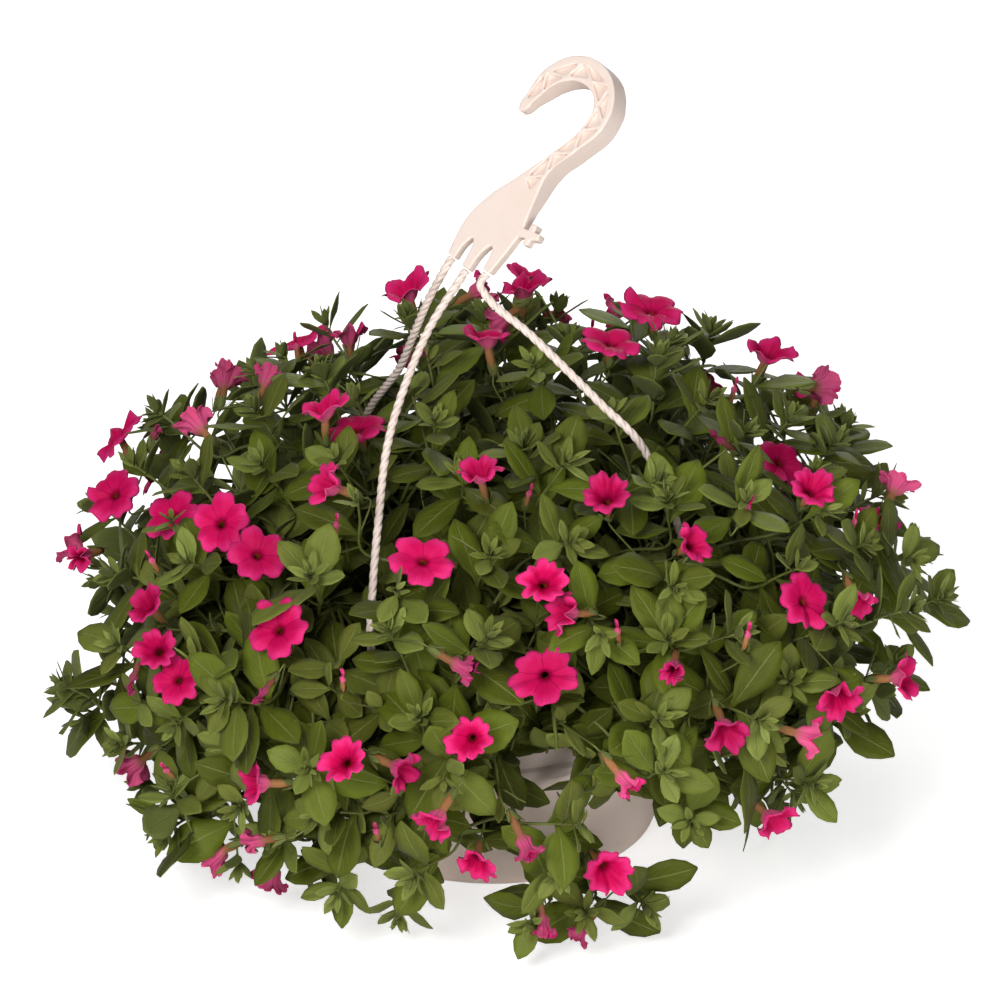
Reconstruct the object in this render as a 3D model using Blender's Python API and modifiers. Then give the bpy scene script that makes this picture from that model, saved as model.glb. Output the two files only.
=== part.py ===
"""Petunia hanging basket: a flowering plant in a round plastic pot with a three-strand hanger.

Everything is modelled in the pot's own frame, in metres: the pot stands on Z = 0 with its axis on
the origin. The empty named hanging_point then lowers the whole basket so that the world's origin is
the place inside the hook where a rail or bracket carries it.
"""

import math

import bmesh
import bpy
from mathutils import Matrix, Vector
from mathutils.bvhtree import BVHTree

MM = 0.001
CLEARANCE = 0.3 * MM  # gap between two pieces that touch
UP = Vector((0, 0, 1))

# Pot, all in millimetres: radius and height of each corner of its wall.
POT_SEGMENTS = 48
POT_OUTSIDE = [(92.0, 97.0), (92.0, 91.5), (90.4, 91.5), (90.4, 95.4), (87.0, 95.4), (86.6, 67.0),
               (89.0, 66.0), (89.0, 61.5), (86.0, 60.5), (76.6, 3.0), (74.6, 0.8), (72.6, 0.0),
               (60.0, 0.0), (58.0, 2.0)]
POT_INSIDE = [(74.2, 4.0), (83.9, 60.5), (84.6, 66.5), (85.4, 97.0)]
FLOOR_UNDERSIDE = 2.0
DRAIN_CUTTER_DEPTH = 20.0  # long enough to pass through the floor
DRAIN_HOLES = 6
DRAIN_HOLE_RADIUS = 4.5
DRAIN_HOLE_SIDES = 16
DRAIN_HOLE_CIRCLE = 40.0

# Soil and the woody crowns of the three cuttings planted in it.
SOIL_EDGE_HEIGHT = 82.0
SOIL_TOP_HEIGHT = 85.0
SOIL_SHOULDER = 0.6  # share of the soil's radius where its top begins to fall
SOIL_SHOULDER_DROP = 1.2
CROWN_COUNT = 3
CROWN_CIRCLE = 36.0
CROWN_SEGMENTS = 12
CROWN_PROFILE = [(0.0, 17.0), (4.5, 16.0), (7.5, 11.0), (8.0, 5.0), (10.5, 0.0), (0.0, 0.0)]

# Hook: its outline lies in the plane of PALM_POINT, ACROSS_HOOK and UP_SHANK, in millimetres.
PALM_POINT = Vector((-6.0, 8.0, 293.0)) * MM
UP_SHANK = Vector((0.562, 0.375, 0.737)).normalized()
ACROSS_HOOK = Vector((0.694, -0.698, -0.174)).normalized()
THICK_HALF = 6.6  # half of the hook's thickness in its crook
THIN_HALF = 2.5  # and in its palm
TAPER_FROM, TAPER_TO = 10.0, 46.0  # the stretch of shank over which the thickness grows
HOOK_TIP = (-21.0, 61.0)
TIP_TAPER = 24.0  # the hook grows thinner within this distance of its tip
TIP_SHARE = 0.48  # share of its thickness that is left at the tip
SMOOTH, SHARP = "AUTO", "VECTOR"
FINGER_ENDS = [(-7.3, -13.0), (3.0, -14.0), (13.6, -10.0)]  # the middle of each finger's end
FINGER_HALF = 2.3
HOOK_OUTLINE = [
    (-7.3 - FINGER_HALF, -13.0, SHARP), (-7.3 + FINGER_HALF, -13.0, SHARP),
    (-4.4, -3.5, SMOOTH), (-2.6, -0.8, SMOOTH), (-0.9, -3.5, SMOOTH),
    (3.0 - FINGER_HALF, -14.0, SHARP), (3.0 + FINGER_HALF, -14.0, SHARP),
    (6.2, -2.5, SMOOTH), (8.4, 0.9, SMOOTH), (10.4, -2.5, SMOOTH),
    (13.6 - FINGER_HALF, -10.0, SHARP), (13.6 + FINGER_HALF, -10.0, SHARP),
    (17.2, 2.0, SMOOTH), (17.8, 11.5, SHARP),
    # the cross-shaped lug that holds a plant label
    (21.2, 12.4, SHARP), (21.8, 9.4, SHARP), (24.8, 10.0, SHARP), (24.4, 13.2, SHARP),
    (28.0, 14.4, SHARP), (27.4, 17.8, SHARP), (23.9, 17.0, SHARP), (23.4, 20.6, SHARP),
    (20.4, 20.0, SHARP), (20.8, 16.6, SHARP), (17.5, 16.0, SHARP),
    # outer side of the shank and the crook, up and over to the tip
    (15.6, 29.0, SMOOTH), (14.8, 45.5, SMOOTH), (20.0, 58.0, SMOOTH), (25.4, 75.0, SMOOTH),
    (20.0, 90.5, SMOOTH), (6.0, 98.6, SMOOTH), (-8.8, 96.0, SMOOTH), (-18.4, 85.0, SMOOTH),
    (-21.6, 70.0, SMOOTH), (-20.8, 60.6, SMOOTH),
    # inner side, back down to the palm
    (-15.6, 69.0, SMOOTH), (-8.2, 81.5, SMOOTH), (2.0, 86.4, SMOOTH), (12.4, 82.8, SMOOTH),
    (15.8, 73.0, SMOOTH), (11.2, 55.5, SMOOTH), (2.1, 36.5, SMOOTH), (-9.0, 17.5, SMOOTH),
    (-11.8, 6.0, SMOOTH)]
HOOK_CENTRE_LINE = [(-18.6, 66.0), (-15.6, 79.0), (-5.6, 90.6), (6.0, 92.6), (16.4, 86.4),
                    (20.6, 74.6), (16.6, 60.6), (11.0, 45.5), (7.4, 33.0)]
HOOK_EDGE = 0.7  # width of the bevel on its edges
HOOK_EDGE_ANGLE = 50  # edges sharper than this many degrees are bevelled
POCKET_COUNT = 13
POCKET_DEPTH = 2.2
POCKET_REACH = 1.5  # length of a pocket's long side, in steps from one pocket to the next
POCKET_BASE, POCKET_POINT = -2.6, 2.2  # its long side and its opposite corner, across the hook
POCKET_CUTTER_ABOVE = 3.0
HOOK_SEAT = (2.0, 86.4)  # the top of the crook's inner side

# Hanger strands: cord diameter, and the places that each one passes on its way to the rim.
STRAND_DIAMETER = 3.8
STRAND_SPACING = 9.5
STRAND_GAP = 0.8  # below the hook's finger, because a strand's end is a little slanted there
STRAIGHT_RUN = 6.5  # out of the hook's finger
UPRIGHT_RUN = 9.0  # into the rim clip
CURVE_STEPS = 16  # fine steps between two places of a smooth route
CLIP_CIRCLE = 88.7
CLIP_TOP = 99.8
STRANDS = {
    "back": (0, 120.0, [(-30.0, 13.0, 260.0), (-37.0, 27.0, 235.0), (-44.0, 42.0, 210.0),
                        (-57.0, 68.0, 178.0), (-65.0, 90.0, 146.0), (-56.0, 92.0, 120.0)]),
    "front": (1, 240.0, [(-29.3, -16.0, 259.7), (-41.0, -36.0, 238.5), (-48.8, -56.0, 217.4),
                         (-52.5, -74.0, 190.0), (-55.0, -90.0, 165.0), (-56.0, -99.0, 138.0),
                         (-50.0, -90.0, 116.0)]),
    "right": (2, 0.0, [(-2.0, -11.0, 272.5), (4.5, -15.0, 267.5), (16.3, -20.0, 259.5),
                       (31.2, -28.0, 247.5), (49.8, -38.0, 231.8), (68.4, -43.0, 213.0),
                       (84.0, -34.0, 172.0), (91.0, -14.0, 132.0)]),
}

# Rim clip: an upside-down U over the rim, as radius and height, and its width along the rim.
CLIP_SECTION = [(82.4, 86.5), (84.6, 86.5), (84.6, 97.4), (92.4, 97.4), (92.4, 91.1), (90.8, 91.1),
                (90.8, 89.0), (95.0, 89.0), (95.0, CLIP_TOP), (82.4, CLIP_TOP)]
CLIP_WIDTH = 11.0

# Mound of foliage: an ellipsoid round this centre, as the tips of the shoots lie.
MOUND_CENTRE_HEIGHT = 107.0
MOUND_RADIUS = 204.0
MOUND_HALF_HEIGHT = 124.0
# Shoots of each crown: name, turns from the crown's own direction, elevation on the mound, lift of
# the stem's middle, radius of the leaf whorl at its tip.
SHOOT_TIERS = [
    ("top", [0.0], 66.0, 8.0, 34.0),
    ("upper", [-34.0, 26.0], 40.0, 16.0, 38.0),
    ("middle", [-20.0, 14.0, 50.0], 8.0, 34.0, 36.0),
    ("skirt", [-40.0, -4.0, 32.0], -30.0, 62.0, 36.0),
]
ROUTE_STEP = 6.0  # between two places of a stem
STEM_FOOT_UP, STEM_FOOT_OUT = 9.0, 11.5  # where a stem leaves its crown
STEM_START_RUN = 14.0  # the straight run out of the crown
STEM_LEAN_BASE, STEM_LEAN_SHARE = 60.0, 0.6  # its lean from the upright, less for high shoots
STEM_MIDDLE = 0.55  # place of the lifted middle, as a share of the way to the tip
SMALLEST_WHORL = 8.0  # a whorl that crosses a part shrinks step by step down to this
WHORL_SHRINK = 1.5
LEAVES_IN_WHORL = 5
# Corners of one leaf: share of its length, turn from its middle, share of its forward reach.
LEAF_CORNERS = [(0.30, -36, 0.2), (0.78, -14, 0.8), (1.0, 8, 1.0)]
STEM_CORNERS = (-24, 0, 24)  # turns of the stem's corners that match a leaf's
WHORL_TURN = 36  # each whorl is turned from the one below
SHOOT_SPIN = 30.0  # and so is each shoot of a tier from the next
WHORLS = [(0.52, 0.50), (0.76, 0.75), (0.97, 1.0)]  # place along the stem, share of the tip's size
WHORL_CUP = 0.25  # how far a leaf's tip stands forward, as a share of its length
STEM_RADIUS = 1.6
LEAF_THICKNESS = 1.3

# Blossoms: direction from the mound's centre in degrees, turn and elevation, the front ones first.
BLOSSOMS = [(-166, 72), (-140, 44), (-103, 50), (-82, 30), (-92, 14), (-35, 30), (-45, 50),
            (-167, 39), (-2, 48), (-125, 33), (-138, 10), (-98, -18), (-66, -26), (-152, -20),
            (-2, 24), (68, 46), (112, 28), (150, 8), (90, -8), (38, 10), (128, 58)]
BLOSSOM_RADIUS = 14.0
BLOSSOM_LENGTH = 24.0
STALK_LENGTH = 16.0
BLOSSOM_SIDES = 15
CLEFT_EVERY = 3  # every third corner of a ring is a cleft between two lobes
# Rings of a blossom: height above the stalk's end, radius at the lobes, radius at the clefts.
BLOSSOM_RINGS = [
    (-STALK_LENGTH, 0.7, 0.7), (0.0, 0.8, 0.8), (4.0, 2.6, 2.6), (BLOSSOM_LENGTH - 7.0, 3.8, 3.6),
    (BLOSSOM_LENGTH - 1.5, BLOSSOM_RADIUS, BLOSSOM_RADIUS * 0.72),
    (BLOSSOM_LENGTH, BLOSSOM_RADIUS * 0.97, BLOSSOM_RADIUS * 0.68),
    (BLOSSOM_LENGTH - 4.5, 3.0, 2.8), (BLOSSOM_LENGTH - 10.0, 1.6, 1.6)]
BLOSSOM_TURNS = (0, 3, -3, 6, -6, 9, -9, 12, -12)
BLOSSOM_SINKS = (4, 2, 0, -2, -4, -6, -8)

SHADES = {
    "pot": ((0.66, 0.50, 0.42), 0.45),
    "hanger": ((0.93, 0.80, 0.72), 0.40),
    "soil": ((0.045, 0.028, 0.018), 0.95),
    "wood": ((0.16, 0.13, 0.06), 0.80),
    "foliage": ((0.075, 0.115, 0.018), 0.60),
    "petal": ((0.62, 0.015, 0.11), 0.55),
}


def clear_scene():
    for obj in list(bpy.data.objects):
        bpy.data.objects.remove(obj, do_unlink=True)


def make_material(name, colour, roughness):
    material = bpy.data.materials.new(name)
    material.use_nodes = True
    shader = material.node_tree.nodes["Principled BSDF"]
    shader.inputs["Base Color"].default_value = (*colour, 1.0)
    shader.inputs["Roughness"].default_value = roughness
    shader.inputs["Metallic"].default_value = 0.0
    material.diffuse_color = (*colour, 1.0)
    return material


def make_collection(name):
    collection = bpy.data.collections.new(name)
    bpy.context.scene.collection.children.link(collection)
    return collection


clear_scene()
basket = make_collection("petunia_hanging_basket")
cutters = make_collection("cutters")
hanging_point = bpy.data.objects.new("hanging_point", None)
basket.objects.link(hanging_point)


def add_part(name, data, shade, smooth=True):
    """A named part of the basket, with its own material, standing in the pot's frame."""
    obj = bpy.data.objects.new(name, data)
    basket.objects.link(obj)
    obj.parent = hanging_point
    obj.data.materials.append(make_material(name, *SHADES[shade]))
    if smooth and obj.type == "MESH":
        obj.data.polygons.foreach_set("use_smooth", [True] * len(obj.data.polygons))
    return obj


def add_cutter(obj, name):
    obj.name = name
    for owner in list(obj.users_collection):
        owner.objects.unlink(obj)
    cutters.objects.link(obj)
    obj.hide_render = True
    obj.display_type = "WIRE"
    obj.parent = hanging_point
    return obj


def cut(obj, cutter):
    modifier = obj.modifiers.new(cutter.name, "BOOLEAN")
    modifier.operation = "DIFFERENCE"
    modifier.object = cutter


def mesh_of(name, points, faces):
    mesh = bpy.data.meshes.new(name)
    mesh.from_pydata(points, [], faces)
    mesh.validate()
    return mesh


def turned(name, profile, shade, segments, location=(0, 0, 0)):
    """A round part: its half-section, in millimetres from the axis, turned with a Screw."""
    points = [(radius * MM, 0, height * MM) for radius, height in profile]
    mesh = bpy.data.meshes.new(name)
    mesh.from_pydata(points, [(i, i + 1) for i in range(len(points) - 1)], [])
    obj = add_part(name, mesh, shade)
    obj.location = location
    screw = obj.modifiers.new("turn", "SCREW")
    screw.steps = screw.render_steps = segments
    screw.use_merge_vertices = True
    screw.merge_threshold = 0.00001
    screw.use_smooth_shade = True
    return obj


def smooth_route(places, spacing):
    """Evenly spaced points on a smooth curve through the given places."""
    places = [Vector(p) for p in places]
    ends = [2 * places[0] - places[1], *places, 2 * places[-1] - places[-2]]
    fine = []
    for a, b, c, d in zip(ends, ends[1:], ends[2:], ends[3:]):
        fine += [catmull_rom(a, b, c, d, step / CURVE_STEPS) for step in range(CURVE_STEPS)]
    fine.append(places[-1])
    travelled = [0.0]
    for p, q in zip(fine, fine[1:]):
        travelled.append(travelled[-1] + (q - p).length)
    count = max(2, round(travelled[-1] / spacing))
    route, index = [], 0
    for number in range(count):
        target = travelled[-1] * number / count
        while travelled[index + 1] < target:
            index += 1
        share = (target - travelled[index]) / (travelled[index + 1] - travelled[index])
        route.append(fine[index].lerp(fine[index + 1], share))
    return route + [places[-1]]


def catmull_rom(a, b, c, d, t):
    return 0.5 * (2 * b + (c - a) * t + (2 * a - 5 * b + 4 * c - d) * t**2
                  + (3 * b - a - 3 * c + d) * t**3)


def around(radius, degrees, height):
    """The place at this radius, turn and height in the pot's frame, in millimetres."""
    turn = math.radians(degrees)
    return Vector((radius * math.cos(turn), radius * math.sin(turn), height))


# Pot

def make_pot():
    profile = [(0.0, POT_INSIDE[0][1]), *POT_INSIDE, *POT_OUTSIDE, (0.0, FLOOR_UNDERSIDE)]
    pot = turned("pot", profile, "pot", POT_SEGMENTS)
    for number in range(DRAIN_HOLES):
        place = around(DRAIN_HOLE_CIRCLE, 360 * (number + 0.5) / DRAIN_HOLES, FLOOR_UNDERSIDE)
        bpy.ops.mesh.primitive_cylinder_add(vertices=DRAIN_HOLE_SIDES, location=place * MM,
                                            radius=DRAIN_HOLE_RADIUS * MM,
                                            depth=DRAIN_CUTTER_DEPTH * MM)
        cut(pot, add_cutter(bpy.context.object, f"drain_hole_{number + 1}"))


def make_soil():
    """The soil fills the pot, one clearance inside its wall, and is slightly crowned."""
    gap = 2 * CLEARANCE / MM
    wall = [(radius - gap, height) for radius, height in POT_INSIDE[:3]]
    wall[0] = (wall[0][0], wall[0][1] + gap)
    edge_radius = wall[-1][0]
    shoulder = (edge_radius * SOIL_SHOULDER, SOIL_TOP_HEIGHT - SOIL_SHOULDER_DROP)
    profile = [(0.0, SOIL_TOP_HEIGHT), shoulder, (edge_radius, SOIL_EDGE_HEIGHT),
               *reversed(wall), (0.0, wall[0][1])]
    turned("soil", profile, "soil", POT_SEGMENTS)


# Hook

def hook_place(across, up, forward=0.0):
    """A place on the hook's own plane, given in millimetres, in the pot's frame."""
    normal = ACROSS_HOOK.cross(UP_SHANK)
    return PALM_POINT + (ACROSS_HOOK * across + UP_SHANK * up + normal * forward) * MM


def eased(value, low, high):
    """0 below low and 1 above high, with a smooth step between them."""
    share = min(1.0, max(0.0, (value - low) / (high - low)))
    return share * share * (3 - 2 * share)


def half_thickness(across, up):
    """Thin in the palm, thick in the crook and thinner again towards the tip."""
    grown = THIN_HALF + (THICK_HALF - THIN_HALF) * eased(up, TAPER_FROM, TAPER_TO)
    from_tip = math.hypot(across - HOOK_TIP[0], up - HOOK_TIP[1])
    return grown * (TIP_SHARE + (1 - TIP_SHARE) * eased(from_tip, 0.0, TIP_TAPER))


def filled_outline(name, places, kinds, resolution):
    """The closed outline as a mesh plate, 2 mm thick, so that its faces lie at Z = +1 and -1 mm."""
    curve = bpy.data.curves.new(name, "CURVE")
    curve.dimensions = "2D"
    curve.fill_mode = "BOTH"
    curve.extrude = 1 * MM
    curve.resolution_u = resolution
    spline = curve.splines.new("BEZIER")
    spline.bezier_points.add(len(places) - 1)
    spline.use_cyclic_u = True
    for point, (x, y), kind in zip(spline.bezier_points, places, kinds):
        point.co = (x * MM, y * MM, 0)
        point.handle_left_type = point.handle_right_type = kind
    obj = bpy.data.objects.new(name, curve)
    bpy.context.scene.collection.objects.link(obj)
    bpy.context.view_layer.update()
    graph = bpy.context.evaluated_depsgraph_get()
    mesh = bpy.data.meshes.new_from_object(obj.evaluated_get(graph))
    bpy.data.objects.remove(obj)
    bpy.data.curves.remove(curve)
    return mesh


def weld(mesh):
    work = bmesh.new()
    work.from_mesh(mesh)
    bmesh.ops.remove_doubles(work, verts=work.verts, dist=1e-6)
    bmesh.ops.recalc_face_normals(work, faces=work.faces)
    work.to_mesh(mesh)
    work.free()


def make_hook():
    places = [(across, up) for across, up, kind in HOOK_OUTLINE]
    mesh = filled_outline("hook", places, [kind for across, up, kind in HOOK_OUTLINE], 4)
    weld(mesh)
    for vertex in mesh.vertices:
        across, up, side = vertex.co / MM
        vertex.co = hook_place(across, up, side * half_thickness(across, up))
    mesh.update()
    weld(mesh)
    hook = add_part("hook", mesh, "hanger")
    cut(hook, make_pockets())
    edges = hook.modifiers.new("rounded edges", "BEVEL")
    edges.width = HOOK_EDGE * MM
    edges.segments = 1
    edges.angle_limit = math.radians(HOOK_EDGE_ANGLE)


def make_pockets():
    """Shallow triangular pockets in the hook's front face, which leave a zigzag of ribs."""
    line = smooth_route([(x, y, 0) for x, y in HOOK_CENTRE_LINE], 1.0)
    points, faces = [], []
    for number in range(POCKET_COUNT):
        start = number * (len(line) - 1) / POCKET_COUNT
        side = 1 if number % 2 else -1
        corners = [pocket_corner(line, start + reach * len(line) / POCKET_COUNT, side * out)
                   for reach, out in ((0.0, POCKET_BASE), (POCKET_REACH, POCKET_BASE),
                                      (POCKET_REACH / 2, POCKET_POINT))]
        if side < 0:
            corners.reverse()
        first = len(points)
        for depth in (-POCKET_DEPTH, POCKET_CUTTER_ABOVE):
            points += [hook_place(x, y, half_thickness(x, y) + depth) for x, y in corners]
        faces += [(first, first + 2, first + 1), (first + 3, first + 4, first + 5)]
        faces += [(first + a, first + b, first + b + 3, first + a + 3)
                  for a, b in ((0, 1), (1, 2), (2, 0))]
    mesh = mesh_of("pockets", points, faces)
    weld(mesh)
    return add_cutter(bpy.data.objects.new("hook_pockets", mesh), "hook_pockets")


def pocket_corner(line, index, out):
    """The place on the hook's centre line at this index, moved outward by this many millimetres."""
    low = min(max(int(index), 0), len(line) - 2)
    along = line[low + 1] - line[low]
    place = line[low] + along * min(index - low, 1.0)
    side = Vector((along.y, -along.x)).normalized()
    return place.x - side.x * out, place.y - side.y * out


# Hanger strands and rim clips

def make_strands():
    for name, (finger, degrees, places) in STRANDS.items():
        across, up = FINGER_ENDS[finger]
        start = hook_place(across, up - STRAND_GAP) / MM
        straight = hook_place(across, up - STRAIGHT_RUN) / MM
        end = around(CLIP_CIRCLE, degrees, CLIP_TOP + CLEARANCE / MM)
        above_end = end + UP * UPRIGHT_RUN
        route = smooth_route([start, straight, *places, above_end, end], STRAND_SPACING)
        curve = bpy.data.curves.new(f"strand_{name}", "CURVE")
        curve.dimensions = "3D"
        curve.bevel_depth = STRAND_DIAMETER / 2 * MM
        curve.bevel_resolution = 2
        curve.use_fill_caps = True
        spline = curve.splines.new("POLY")
        spline.points.add(len(route) - 1)
        for point, place in zip(spline.points, route):
            point.co = (*(place * MM), 1.0)
        add_part(f"strand_{name}", curve, "hanger")


def make_clips():
    kinds = [SHARP] * len(CLIP_SECTION)
    for name, strand in STRANDS.items():
        degrees = strand[1]
        mesh = filled_outline(f"clip_{name}", CLIP_SECTION, kinds, 1)
        weld(mesh)
        turn = Matrix.Rotation(math.radians(degrees), 4, "Z")
        stretch = Matrix.Diagonal((1, 1, CLIP_WIDTH / 2, 1))
        mesh.transform(turn @ Matrix.Rotation(math.pi / 2, 4, "X") @ stretch)
        weld(mesh)
        add_part(f"clip_{name}", mesh, "hanger", smooth=False)


# Plant

def crown_place(number):
    degrees = 360 * (number + 0.5) / CROWN_COUNT
    return around(CROWN_CIRCLE, degrees, SOIL_TOP_HEIGHT + CLEARANCE / MM), degrees


def make_crowns():
    for number in range(CROWN_COUNT):
        place, degrees = crown_place(number)
        turned(f"crown_{number + 1}", CROWN_PROFILE, "wood", CROWN_SEGMENTS, place * MM)


def mound_place(degrees, elevation):
    """A place on the mound's surface, by its direction from the mound's centre."""
    rise = math.radians(elevation)
    place = around(MOUND_RADIUS * math.cos(rise), degrees, 0)
    return place + UP * (MOUND_CENTRE_HEIGHT + MOUND_HALF_HEIGHT * math.sin(rise))


def mound_normal(degrees, elevation):
    place = mound_place(degrees, elevation) - UP * MOUND_CENTRE_HEIGHT
    return Vector((place.x / MOUND_RADIUS**2, place.y / MOUND_RADIUS**2,
                   place.z / MOUND_HALF_HEIGHT**2)).normalized()


def ring_faces(ring_count, sides):
    """The faces of a closed tube: the sides between its rings, and a cap at each end."""
    faces = []
    for ring in range(ring_count - 1):
        for step in range(sides):
            a = ring * sides + step
            b = ring * sides + (step + 1) % sides
            faces.append((a, b, b + sides, a + sides))
    last = (ring_count - 1) * sides
    faces.append(tuple(range(sides - 1, -1, -1)))
    faces.append(tuple(last + step for step in range(sides)))
    return faces


def stem_corners():
    """One ring of the bare stem, as (distance from its middle, turn, distance forward)."""
    return [(STEM_RADIUS, 360 * leaf / LEAVES_IN_WHORL + step, 0.0)
            for leaf in range(LEAVES_IN_WHORL) for step in STEM_CORNERS]


def whorl_corners(leaf_length):
    """The outline of a whorl of leaves, as (distance from the stem's middle, turn, forward)."""
    cup = WHORL_CUP * leaf_length
    return [(leaf_length * reach, 360 * leaf / LEAVES_IN_WHORL + turn, cup * forward)
            for leaf in range(LEAVES_IN_WHORL) for reach, turn, forward in LEAF_CORNERS]


def shoot_rings(length, tip_radius):
    """The shoot's rings, as (place along the stem, corners), each whorl between two stem rings."""
    rings = [(0.0, stem_corners())]
    leaf_half = LEAF_THICKNESS / length
    for place, size in WHORLS:
        rings += [(place - leaf_half, stem_corners()), (place, whorl_corners(tip_radius * size)),
                  (place + leaf_half, stem_corners())]
    return rings


def shoot_mesh(name, route, tip_radius, spin):
    """A closed loft along the stem: round between its whorls, leaf-shaped at each of them."""
    length = len(route) - 1
    rings = shoot_rings(length, tip_radius)
    side = (route[1] - route[0]).orthogonal().normalized()
    points = []
    for number, (place, corners) in enumerate(rings):
        index = min(int(place * length), length - 1)
        along = (route[index + 1] - route[index]).normalized()
        middle = route[index].lerp(route[index + 1], place * length - index)
        side = (side - along * side.dot(along)).normalized()
        other = along.cross(side)
        for reach, turn, forward in corners:
            angle = math.radians(turn + spin + WHORL_TURN * (number // 3))
            out = side * math.cos(angle) + other * math.sin(angle)
            points.append((middle + out * reach + along * forward) * MM)
    return mesh_of(name, points, ring_faces(len(rings), len(rings[0][1])))


def surface_of(obj):
    """The part's evaluated surface as a search tree, in the pot's frame."""
    graph = bpy.context.evaluated_depsgraph_get()
    mesh = bpy.data.meshes.new_from_object(obj.evaluated_get(graph))
    points = [obj.location + v.co for v in mesh.vertices]
    tree = BVHTree.FromPolygons(points, [p.vertices for p in mesh.polygons])
    bpy.data.meshes.remove(mesh)
    return tree


def tree_of(mesh):
    return BVHTree.FromPolygons([v.co for v in mesh.vertices], [p.vertices for p in mesh.polygons])


def is_clear(mesh, others):
    """True if the mesh crosses none of the trees, and none of its points is within a clearance."""
    own = tree_of(mesh)
    if any(own.overlap(other) for other in others):
        return False
    for vertex in mesh.vertices:
        for other in others:
            if other.find_nearest(vertex.co, CLEARANCE)[0] is not None:
                return False
    return True


def stem_route(crown, turn, elevation, lift):
    """A stem from its crown, over a lifted middle, to its tip on the mound."""
    centre, crown_turn = crown_place(crown)
    degrees = crown_turn + turn
    lean = math.radians(STEM_LEAN_BASE - elevation * STEM_LEAN_SHARE)
    out = around(1, degrees, 0) * math.sin(lean) + UP * math.cos(lean)
    start = centre + UP * STEM_FOOT_UP + out * STEM_FOOT_OUT
    tip = mound_place(degrees, elevation)
    middle = start.lerp(tip, STEM_MIDDLE) + UP * lift
    return smooth_route([start, start + out * STEM_START_RUN, middle, tip], ROUTE_STEP)


def make_shoot(name, route, tip_radius, spin, taken):
    """Adds the shoot with its whorls as large as they can be without crossing another part."""
    mesh = shoot_mesh(name, route, tip_radius, spin)
    while not is_clear(mesh, taken) and tip_radius > SMALLEST_WHORL:
        tip_radius -= WHORL_SHRINK
        bpy.data.meshes.remove(mesh)
        mesh = shoot_mesh(name, route, tip_radius, spin)
    taken.append(tree_of(mesh))
    add_part(name, mesh, "foliage", smooth=False)


def make_shoots(taken):
    for crown in range(CROWN_COUNT):
        for tier, turns, elevation, lift, tip_radius in SHOOT_TIERS:
            for number, turn in enumerate(turns):
                name = f"shoot_{tier}_{crown * len(turns) + number + 1}"
                route = stem_route(crown, turn, elevation, lift)
                make_shoot(name, route, tip_radius, SHOOT_SPIN * number, taken)


def blossom_mesh(name):
    """A trumpet with five lobes, facing +Z, its stalk's end at the origin."""
    points = []
    for height, lobe, cleft in BLOSSOM_RINGS:
        for step in range(BLOSSOM_SIDES):
            radius = lobe if step % CLEFT_EVERY else cleft
            corner = around(radius, 360 * step / BLOSSOM_SIDES, height + STALK_LENGTH)
            points.append(corner * MM)
    return mesh_of(name, points, ring_faces(len(BLOSSOM_RINGS), BLOSSOM_SIDES))


def placed_blossom(name, degrees, elevation, depth):
    """A blossom whose stalk starts this deep under the mound's surface, facing out of it."""
    facing = mound_normal(degrees, elevation)
    turn = UP.rotation_difference(facing).to_matrix().to_4x4()
    mesh = blossom_mesh(name)
    place = mound_place(degrees, elevation) - facing * depth
    mesh.transform(Matrix.Translation(place * MM) @ turn)
    return mesh


def make_blossoms(taken):
    """Each blossom takes the first clear place near its own, as deep in the foliage as it can."""
    tries = [(turn, sink) for turn in BLOSSOM_TURNS for sink in BLOSSOM_SINKS]
    for number, (degrees, elevation) in enumerate(BLOSSOMS):
        name = f"blossom_{number + 1}"
        for turn, sink in tries:
            depth = STALK_LENGTH + BLOSSOM_LENGTH + sink
            mesh = placed_blossom(name, degrees + turn, elevation, depth)
            if is_clear(mesh, taken):
                break
            bpy.data.meshes.remove(mesh)
        taken.append(tree_of(mesh))
        add_part(name, mesh, "petal", smooth=False)


make_pot()
make_soil()
make_hook()
make_strands()
make_clips()
make_crowns()
bpy.context.view_layer.update()
surfaces = [surface_of(obj) for obj in basket.objects if obj.type in ("MESH", "CURVE")]
make_shoots(surfaces)
make_blossoms(surfaces)
hanging_point.location = -hook_place(*HOOK_SEAT)
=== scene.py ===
import math
import random

import bmesh
import bpy
import numpy as np
from mathutils import Matrix, Vector, noise
from mathutils.kdtree import KDTree


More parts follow.
